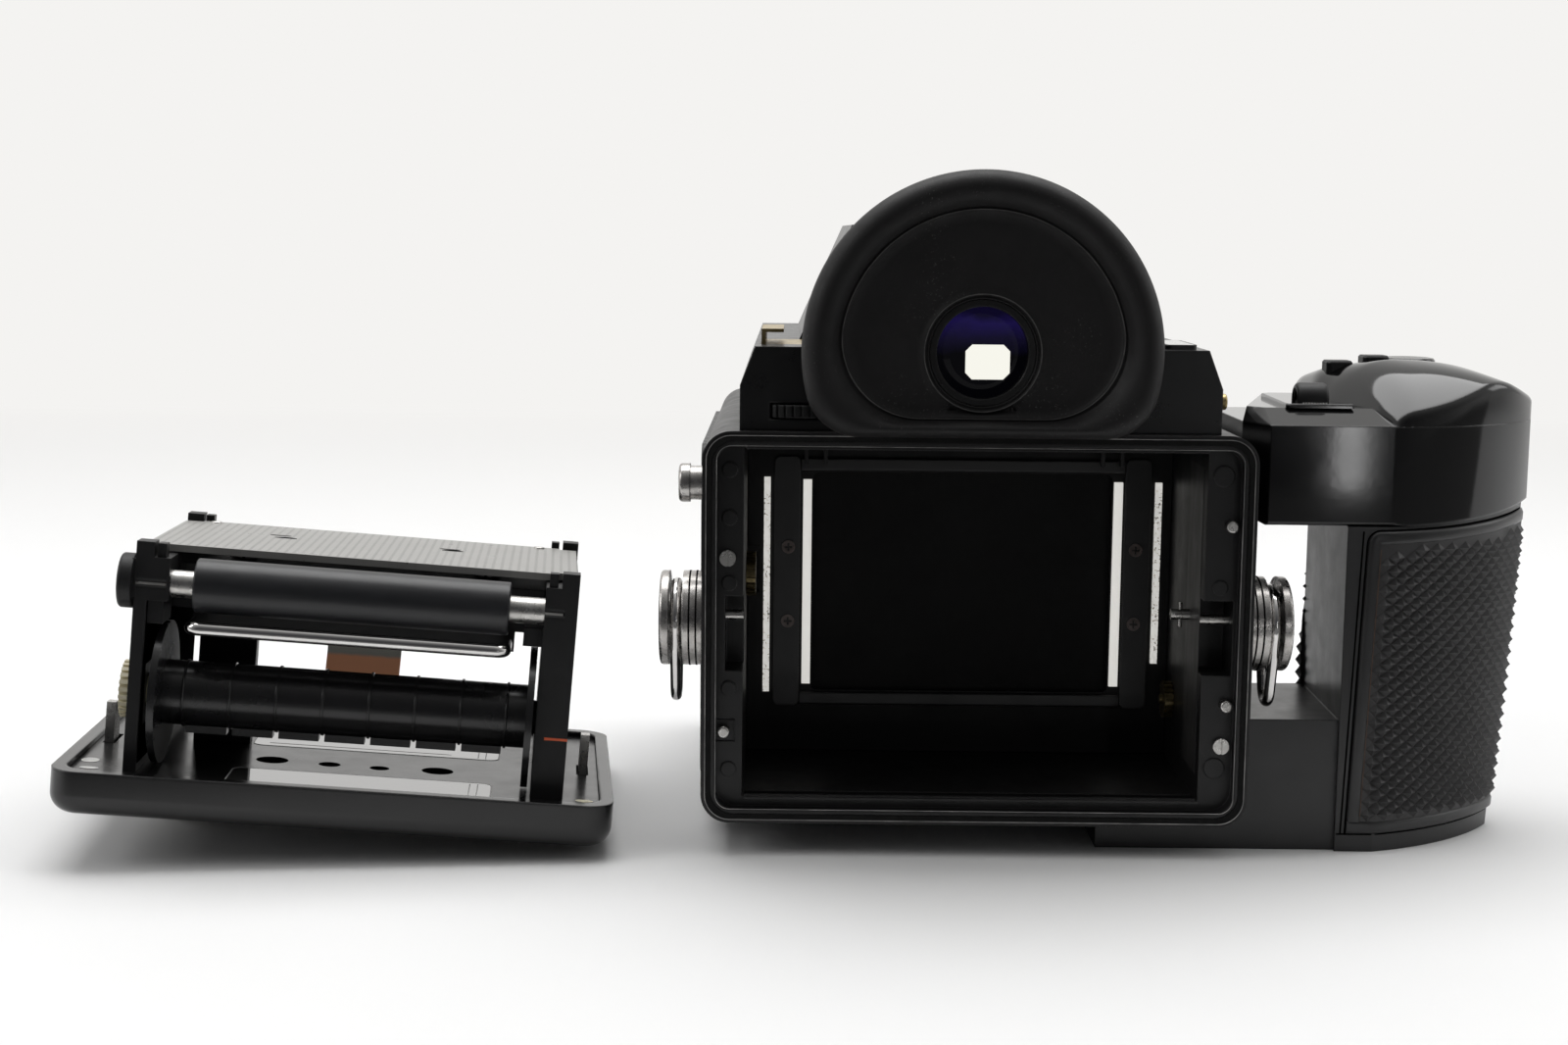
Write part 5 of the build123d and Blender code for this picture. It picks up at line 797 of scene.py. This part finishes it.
# Humped top cover, one smooth surface
def hump_mesh():
    """The lower of a crest along X, a flank along Y and a slope up from the inner corner, blended."""
    crest = [(62.5, 75.4), (63.1, 79.0), (64.6, 82.4), (67.7, 85.3), (71.6, 86.6), (76.0, 86.85),
             (80.6, 86.5), (85.4, 85.4), (90.2, 83.85), (96.0, 81.6), (101.7, 79.1)]
    flank = arc_points((-53.5, 77.0), (-45.0, 82.7), (-35.0, 86.85), 24)
    front_y, front_z = -14.0, 81.9
    crest_lift, crest_blend, slope_blend = 0.4, 3.0, 5.0
    slope_start, slope_end = (72.3, -54.6), (62.3, -33.0)
    slope_width, slope_foot, slope_rise, slope_power = 12.0, 1.0, 12.5, 1.7

    def crest_z(x):
        i = 0
        while i < len(crest) - 2 and crest[i + 1][0] < x:
            i += 1
        p = [crest[max(i - 1, 0)], crest[i], crest[i + 1], crest[min(i + 2, len(crest) - 1)]]
        span = p[2][0] - p[1][0]
        t = (x - p[1][0]) / span
        m1 = (p[2][1] - p[0][1]) / (p[2][0] - p[0][0]) * span
        m2 = (p[3][1] - p[1][1]) / (p[3][0] - p[1][0]) * span
        h = (2 * t**3 - 3 * t**2 + 1, t**3 - 2 * t**2 + t, 3 * t**2 - 2 * t**3, t**3 - t**2)
        return h[0] * p[1][1] + h[1] * m1 + h[2] * p[2][1] + h[3] * m2

    def flank_z(y):
        if y > flank[-1][0]:
            return flank[-1][1] + (front_z - flank[-1][1]) * (y - flank[-1][0]) / (front_y - flank[-1][0])
        i = 0
        while i < len(flank) - 2 and flank[i + 1][0] < y:
            i += 1
        (ya, za), (yb, zb) = flank[i], flank[i + 1]
        return za + (zb - za) * (y - ya) / (yb - ya)

    edge = arc_points((GRIP_CORNER_X, GRIP_REAR_Y), REAR_BULGE, GRIP_OUTER, 40)
    edge += [p for p in arc_points(GRIP_OUTER, FRONT_BULGE, GRIP_NOSE, 40)[1:] if p[1] < front_y]
    edge += [(90.0 - 27.5 * i / 12, front_y) for i in range(13)]
    edge += [(62.5, front_y - 19.0 * i / 8) for i in range(1, 9)]
    edge += [(62.5 + 9.5 * i / 16, -33.0 - 20.5 * i / 16) for i in range(1, 16)]

    def slope_z(x, y):
        (ax, ay), (bx, by) = slope_start, slope_end
        dx, dy = bx - ax, by - ay
        t = min(max(((x - ax) * dx + (y - ay) * dy) / (dx * dx + dy * dy), 0.0), 1.0)
        share = min(math.hypot(x - ax - t * dx, y - ay - t * dy) / slope_width, 1.0)
        return HEAD_TOP_Z + slope_foot + slope_rise * (1 - (1 - share) ** slope_power)

    def lower(a, b, blend):
        near = max(blend - abs(a - b), 0.0) / blend
        return min(a, b) - near**2 * blend / 4

    centre = (82.0, -32.0)
    edge_round, rings = 1.1, 40
    points = []
    for r in range(rings + 1):
        share = 1 - (1 - r / rings) ** 2
        for bx, by in edge:
            x = centre[0] + (bx - centre[0]) * share
            y = centre[1] + (by - centre[1]) * share
            z = lower(crest_z(x) + crest_lift, flank_z(y), crest_blend)
            z = lower(z, slope_z(x, y), slope_blend)
            gap = (1 - share) * math.dist(centre, (bx, by))
            if gap < edge_round:
                z -= edge_round - math.sqrt(edge_round**2 - (edge_round - gap) ** 2)
            points.append((x, y, max(z, HEAD_TOP_Z + 0.1)))
    points += [(x, y, HEAD_TOP_Z) for x, y in edge]
    faces = grid_faces(rings + 2, len(edge), True)
    obj = piece("grip_top_smooth", points, faces, gloss_black)
    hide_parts("grip_top")


hump_mesh()

# Film back: two clear labels let into the plate, each with a thin line round it
PLATE_TOP = -1.0
LABEL_LIFT = 0.04
LABEL_CORNER = 2.0


def label(name, low, high):
    """A rounded clear label on the inner plate, with its thin outline and marks."""
    film_z = PLATE_TOP + LABEL_LIFT
    outer = rounded_box(low, high, LABEL_CORNER, 6)
    inner = rounded_box(low, high, LABEL_CORNER, 6, 0.22)
    film = [(x, y, film_z) for x, y in outer]
    piece(name + "_film", film, [tuple(range(len(film)))], label_film, "film_back")
    line = [(x, y, film_z + 0.02) for x, y in outer + inner]
    piece(name + "_line", line, grid_faces(2, len(outer), True), label_line, "film_back")
    spans = ((high[0] - 4.0, low[1] + 1.2, high[0] - 3.8, high[1] - 1.2),
             (high[0] - 2.6, low[1] + 1.2, high[0] - 2.4, high[1] - 1.2),
             (low[0] + 3.0, low[1] + 2.4, high[0] - 9.0, low[1] + 2.55))
    marks = [((x0, y0, PLATE_TOP), (x1, y1, film_z + 0.04)) for x0, y0, x1, y1 in spans]
    blocks(name + "_marks", marks, label_line, "film_back")


label("near_label", (-19.0, -30.3), (26.2, -17.4))
label("far_label", (-18.6, 2.8), (26.8, 17.6))

# Take-up spool: thin collars along its core, with a fin between each two
SPOOL_AXIS = (-18.4, 11.8)
COLLAR_PITCH = 7.9
COLLAR_ROOT = 5.5
COLLAR_RADIUS = 5.85
for i in range(8):
    x = -27.6 + COLLAR_PITCH * i
    profile = [(x - 0.25, COLLAR_ROOT), (x - 0.2, COLLAR_RADIUS), (x + 0.2, COLLAR_RADIUS),
               (x + 0.25, COLLAR_ROOT)]
    turned(f"spool_collar_{i + 1}", SPOOL_AXIS, profile, spool_black, "take_up", 48)
fins = []
for i in range(7):
    x = -27.1 + COLLAR_PITCH * i
    fins.append(((x, -20.6, 5.2), (x + 6.9, -17.9, 6.5)))
blocks("spool_fins", fins, spool_black, "take_up")

# Insert: paired corner tabs, the orange mark, steps on the arms and a dark sheet on the end wall, painted
# shade
tabs = [((x, y, 35.6), (x + 1.5, y + 2.6, 38.4))
        for left in (-36.1, 33.4) for y in (-25.9, 25.2) for x in (left, left + 3.2)]
blocks("corner_tabs", tabs, insert_black, "film_back")
blocks("start_mark", [((34.6, -26.56, 9.4), (38.6, -26.4, 9.85))], mark_orange, "film_back")
arm_steps = [((-36.9, -26.6, 29.0), (-36.1, -17.0, 35.6)), ((-31.0, -26.7, 28.9), (-30.4, -19.0, 33.0)),
             ((32.6, -24.6, 25.4), (33.4, -16.0, 28.6)), ((-34.9, -25.6, 24.6), (-31.4, -17.6, 28.8)),
             ((29.6, -24.0, 25.2), (32.9, -16.6, 28.4))]
blocks("arm_steps", arm_steps, insert_black, "film_back")
# Painted shade: near-black sheets without gloss over the end wall's inner face.
painted_shade_sheets = [((-34.12, y0, z0), (-34.02, y1, z1))
          for y0, y1, z0, z1 in ((-26.0, -23.6, 0.4, 28.4), (-23.6, -13.0, 0.4, 6.4),
                                 (-23.6, -13.0, 17.2, 28.4), (-13.0, 28.0, 0.4, 28.4))]
blocks("end_wall_painted_shade", painted_shade_sheets, line_black, "film_back")

# Pressure plate: two small rivets and two dark half-round clips
RIVET_PLACES = ((-30.3, 21.0), (31.0, 21.0))
CLIP_PLACES = ((-15.2, 4.0), (15.2, 4.4))
CLIP_Z = 37.53
for i, place in enumerate(RIVET_PLACES):
    rivet = [(x, y, z) for radius, z in ((1.05, 37.5), (1.0, 37.75), (0.0, 37.8))
             for x, y in circle(place, radius, 24)]
    piece(f"plate_rivet_{i + 1}", rivet, grid_faces(3, 24, True), steel, "pressure_plate")
for i, place in enumerate(CLIP_PLACES):
    clip = [(x, y, CLIP_Z) for x, y in circle(place, (2.0, 1.7), 24)[:13]]
    piece(f"plate_clip_{i + 1}", clip, [tuple(range(13))], line_black, "pressure_plate")

# Pale worn spots at the cover's near-left corner and the cream stop at the right: place, radii, finish
PLATE_SPOTS = (
    ((-43.0, -19.6), (1.5, 1.9), label_line),
    ((-42.0, -25.6), (1.6, 0.9), label_line),
    ((42.4, -26.0), (1.6, 1.0), cream),
)
for i, (place, radii, material) in enumerate(PLATE_SPOTS):
    spot = [(x, y, PLATE_TOP + 0.05) for x, y in circle(place, radii, 24)]
    piece(f"plate_spot_{i + 1}", spot, [tuple(range(24))], material, "film_back")

# Chamber: ribs on floor and roof, brackets above the gate, a paler strip on the right wall, a boxed pin
RIB_LEFT, RIB_RIGHT = -39.9, 38.9
FLOOR_Z, ROOF_Z = 9.8, 71.5
ribs = []
for low_z, places in ((FLOOR_Z, (-59.2, -57.4, -54.6)), (ROOF_Z - 0.5, (-59.2, -57.4))):
    ribs += [((RIB_LEFT, y, low_z), (RIB_RIGHT, y + 0.45, low_z + 0.5)) for y in places]
blocks("chamber_ribs", ribs, satin_black)
brackets = []
for side in (-1, 1):
    for x in (side * 29.4, side * 25.8):
        brackets.append(((x - 0.4, -25.2, 64.9), (x + 0.4, -24.2, ROOF_Z)))
blocks("gate_brackets", brackets, satin_black)
blocks("pale_wall_strip", [((39.22, -53.6, 14.0), (39.34, -41.0, 68.0))], wall_grey)
PIN_X, PIN_Z, FLANGE_Y = -43.6, 21.5, -57.0
BAR_LONG, BAR_THIN = 2.0, 0.1
bars = []
for offset in (-1.9, 1.9):
    for x, z, half_x, half_z in ((PIN_X, PIN_Z + offset, BAR_LONG, BAR_THIN),
                                 (PIN_X + offset, PIN_Z, BAR_THIN, BAR_LONG)):
        bars.append(((x - half_x, FLANGE_Y - 0.3, z - half_z), (x + half_x, FLANGE_Y, z + half_z)))
blocks("pin_box", bars, satin_black)

# Strap lugs: dark grooves round the stacked discs
LUG_AXIS = (-50.0, 40.2)
GROOVE_RADII = (8.2, 8.36)
for side, side_name in ((-1, "left"), (1, "right")):
    for i, offset in enumerate((1.1, 2.3)):
        x = side * (BODY_HALF_WIDTH + offset)
        root, top = GROOVE_RADII
        profile = [(x - 0.15, root), (x - 0.15, top), (x + 0.15, top), (x + 0.15, root)]
        turned(f"lug_groove_{side_name}_{i + 1}", LUG_AXIS, profile, line_black)

# Raised bezel on the grip's head, its row of teeth and the main switch's half-round wheel
HEAD_FLAT_Z = 78.0
BEZEL_TOP_Z = 78.75
BEZEL_OUTLINE = [(54.9, -47.4), (66.2, -47.4), (62.4, -38.0), (62.0, -20.0), (57.0, -20.0), (55.4, -21.5),
                 (54.4, -46.8)]


def plate_piece(name, outline, low_z, high_z, inset, material, body="camera_body"):
    """A flat plate with a small chamfer round its upper edge."""
    centre = [sum(p[k] for p in outline) / len(outline) for k in (0, 1)]
    points = []
    for shrink, z in ((0.0, low_z), (0.0, high_z - inset), (inset, high_z)):
        for x, y in outline:
            reach = math.dist(centre, (x, y))
            share = 1 - shrink / reach
            points.append((centre[0] + (x - centre[0]) * share, centre[1] + (y - centre[1]) * share, z))
    count = len(outline)
    faces = grid_faces(3, count, True) + [tuple(range(2 * count, 3 * count))]
    return piece(name, points, faces, material, body, smooth=False)


plate_piece("switch_bezel", BEZEL_OUTLINE, HEAD_FLAT_Z, BEZEL_TOP_Z, 0.3, gloss_black)
teeth = [((57.4 + 0.5 * i, -46.8, BEZEL_TOP_Z), (57.62 + 0.5 * i, -46.3, 78.9)) for i in range(9)]
blocks("switch_teeth", teeth, label_line)


def switch_wheel():
    """A half-round wheel whose axis runs across the grip."""
    centre_y, centre_z = -43.0, 79.2
    profile = ((56.7, 2.1), (56.78, 2.55), (57.0, 2.85), (57.4, 3.0), (61.6, 3.0), (62.0, 2.85),
               (62.22, 2.55), (62.3, 2.1))
    points = []
    for x, radius in profile:
        points.append((x, centre_y - radius, HEAD_FLAT_Z))
        for i in range(25):
            a = math.radians(7.5 * i)
            points.append((x, centre_y - radius * math.cos(a), centre_z + radius * math.sin(a)))
        points.append((x, centre_y + radius, HEAD_FLAT_Z))
    count = len(points) // len(profile)
    faces = grid_faces(len(profile), count)
    faces += [tuple(range(count)), tuple(reversed(range(len(points) - count, len(points))))]
    obj = piece("switch_wheel", points, faces, insert_black, "main_switch")
    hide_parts("main_switch")


switch_wheel()


# Low buttons on the grip
BUTTON_FOOT_Z = 72.3


def low_button(name, node, low, high, top_z):
    """A flat square button with rounded corners, replacing a taller plain one."""
    outline = rounded_box(low, high, 0.8, 4)
    obj = plate_piece(name, outline, BUTTON_FOOT_Z, top_z, 0.35, insert_black, node)
    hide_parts(node)


low_button("up_button_low", "up_button", (65.6, -29.4), (70.4, -24.6), 85.3)
SHUTTER_PLACE = (82.0, -22.0)
SHUTTER_RINGS = ((5.2, 72.6), (5.2, 85.2), (4.9, 85.6), (4.4, 85.7), (2.2, 85.3), (0.1, 85.2))
shutter_points = [(x, y, z) for radius, z in SHUTTER_RINGS for x, y in circle(SHUTTER_PLACE, radius, 48)]
shutter_faces = grid_faces(len(SHUTTER_RINGS), 48, True)
shutter = piece("shutter_button_low", shutter_points, shutter_faces, gloss_black, "shutter_button")
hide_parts("shutter_button")
low_button("down_button_low", "down_button", (72.2, -29.4), (77.0, -24.6), 86.3)


# Pale floor that curves up into the backdrop; its fore part is dark to all but the camera
BACKDROP_WHITE = (0.905, 0.896, 0.88, 1)
FORE_Y, FORE_COLOUR = -0.15, (0.12, 0.12, 0.12)
GLOW_START_Y, GLOW_RUN = 0.12, 0.75


def sweep_material():
    """Plain pale paper that shows white far behind the object and keeps its shadow near it."""
    mat, tree, shader = new_material("pale_paper")
    vector = coordinates(tree)
    paper = ramp(tree, noise(tree, vector, 300.0, 3), ((0.3, 0.84), (0.7, 0.86)))
    rays = add(tree, "LightPath").outputs
    depth = split_xyz(tree, vector)["Y"]
    unseen = maths(tree, "SUBTRACT", 1.0, rays["Is Camera Ray"])
    fore = maths(tree, "MULTIPLY", maths(tree, "LESS_THAN", depth, FORE_Y), unseen)
    feed(tree, shader, {"Base Color": mix(tree, fore, paper, FORE_COLOUR), "Roughness": 0.7})
    bump(tree, shader, noise(tree, vector, 0.8, 2), 0.01)
    glow = add(tree, "Emission", {"Color": BACKDROP_WHITE}).outputs["Emission"]
    far = maths(tree, "DIVIDE", maths(tree, "SUBTRACT", depth, GLOW_START_Y), GLOW_RUN)
    share = ramp(tree, far, ((0.0, 0.0), (1.0, 1.0)))
    seen = maths(tree, "MAXIMUM", rays["Is Camera Ray"], rays["Is Glossy Ray"])
    shaders = {"Fac": maths(tree, "MULTIPLY", share, seen), 1: shader.outputs["BSDF"], 2: glow}
    either = add(tree, "MixShader", shaders)
    feed(tree, tree.nodes["Material Output"], {"Surface": either.outputs["Shader"]})
    return mat


def backdrop():
    """A long sheet: level in front and under the object, curving up behind it."""
    half_width = 2.2
    front, level_end, radius, top = -0.6, 0.9, 0.5, 2.2
    profile = [(front, 0.0), (-0.2, 0.0), (0.2, 0.0), (level_end, 0.0)]
    steps = 16
    for i in range(1, steps + 1):
        a = math.radians(90) * i / steps
        profile.append((level_end + radius * math.sin(a), radius * (1 - math.cos(a))))
    profile.append((level_end + radius, top))
    mesh = bpy.data.meshes.new("backdrop")
    verts = [(x, y, z) for y, z in profile for x in (-half_width, half_width)]
    faces = [(2 * i, 2 * i + 1, 2 * i + 3, 2 * i + 2) for i in range(len(profile) - 1)]
    mesh.from_pydata(verts, [], faces)
    for polygon in mesh.polygons:
        polygon.use_smooth = True
    sheet = bpy.data.objects.new("backdrop", mesh)
    scene.collection.objects.link(sheet)
    mesh.materials.append(sweep_material())


backdrop()

# Soft daylight: a pale sky, dark only behind the photographer, and soft boxes
world = bpy.data.worlds.new("studio")
scene.world = world
world.use_nodes = True
tree = world.node_tree
direction = add(tree, "TexCoord").outputs["Generated"]
towards = maths(tree, "MULTIPLY", split_xyz(tree, direction)["Y"], -1.0)
tones = ramp(tree, towards, ((0.2, (0.92, 0.915, 0.905)), (0.5, 0.42), (0.75, 0.2),
                             (0.93, (0.09, 0.09, 0.095))))
sky = tree.nodes["Background"]
feed(tree, sky, {"Color": tones, "Strength": 0.68})
bright = add(tree, "Background", {"Color": BACKDROP_WHITE, "Strength": 1.0})
shaders = {"Fac": add(tree, "LightPath").outputs["Is Camera Ray"],
           1: sky.outputs["Background"], 2: bright.outputs["Background"]}
either = add(tree, "MixShader", shaders)
feed(tree, tree.nodes["World Output"], {"Surface": either.outputs["Shader"]})


def soft_box(name, place, aim, size, watts, spread=180):
    """A rectangular lamp at place, turned to aim, that the camera doesn't see."""
    data = bpy.data.lights.new(name, "AREA")
    data.shape = "RECTANGLE"
    data.size, data.size_y = size
    data.energy = watts
    data.spread = math.radians(spread)
    lamp = bpy.data.objects.new(name, data)
    lamp.visible_camera = False
    scene.collection.objects.link(lamp)
    lamp.location = place
    lamp.rotation_euler = (Vector(aim) - Vector(place)).to_track_quat("-Z", "Y").to_euler()


soft_box("box_above", (0.0, 0.25, 1.1), (0.0, 0.0, 0.0), (1.3, 0.8), 11.5)
soft_box("box_left", (-1.1, -0.35, 0.75), (-0.03, 0.0, 0.05), (0.5, 0.6), 3.0)
soft_box("box_right", (1.2, 0.1, 0.6), (0.0, 0.0, 0.05), (0.5, 0.6), 2.0)
soft_box("strip_front", (0.195, -0.56, 0.09), (0.065, -0.0535, 0.068), (0.012, 0.17), 0.004, 50)
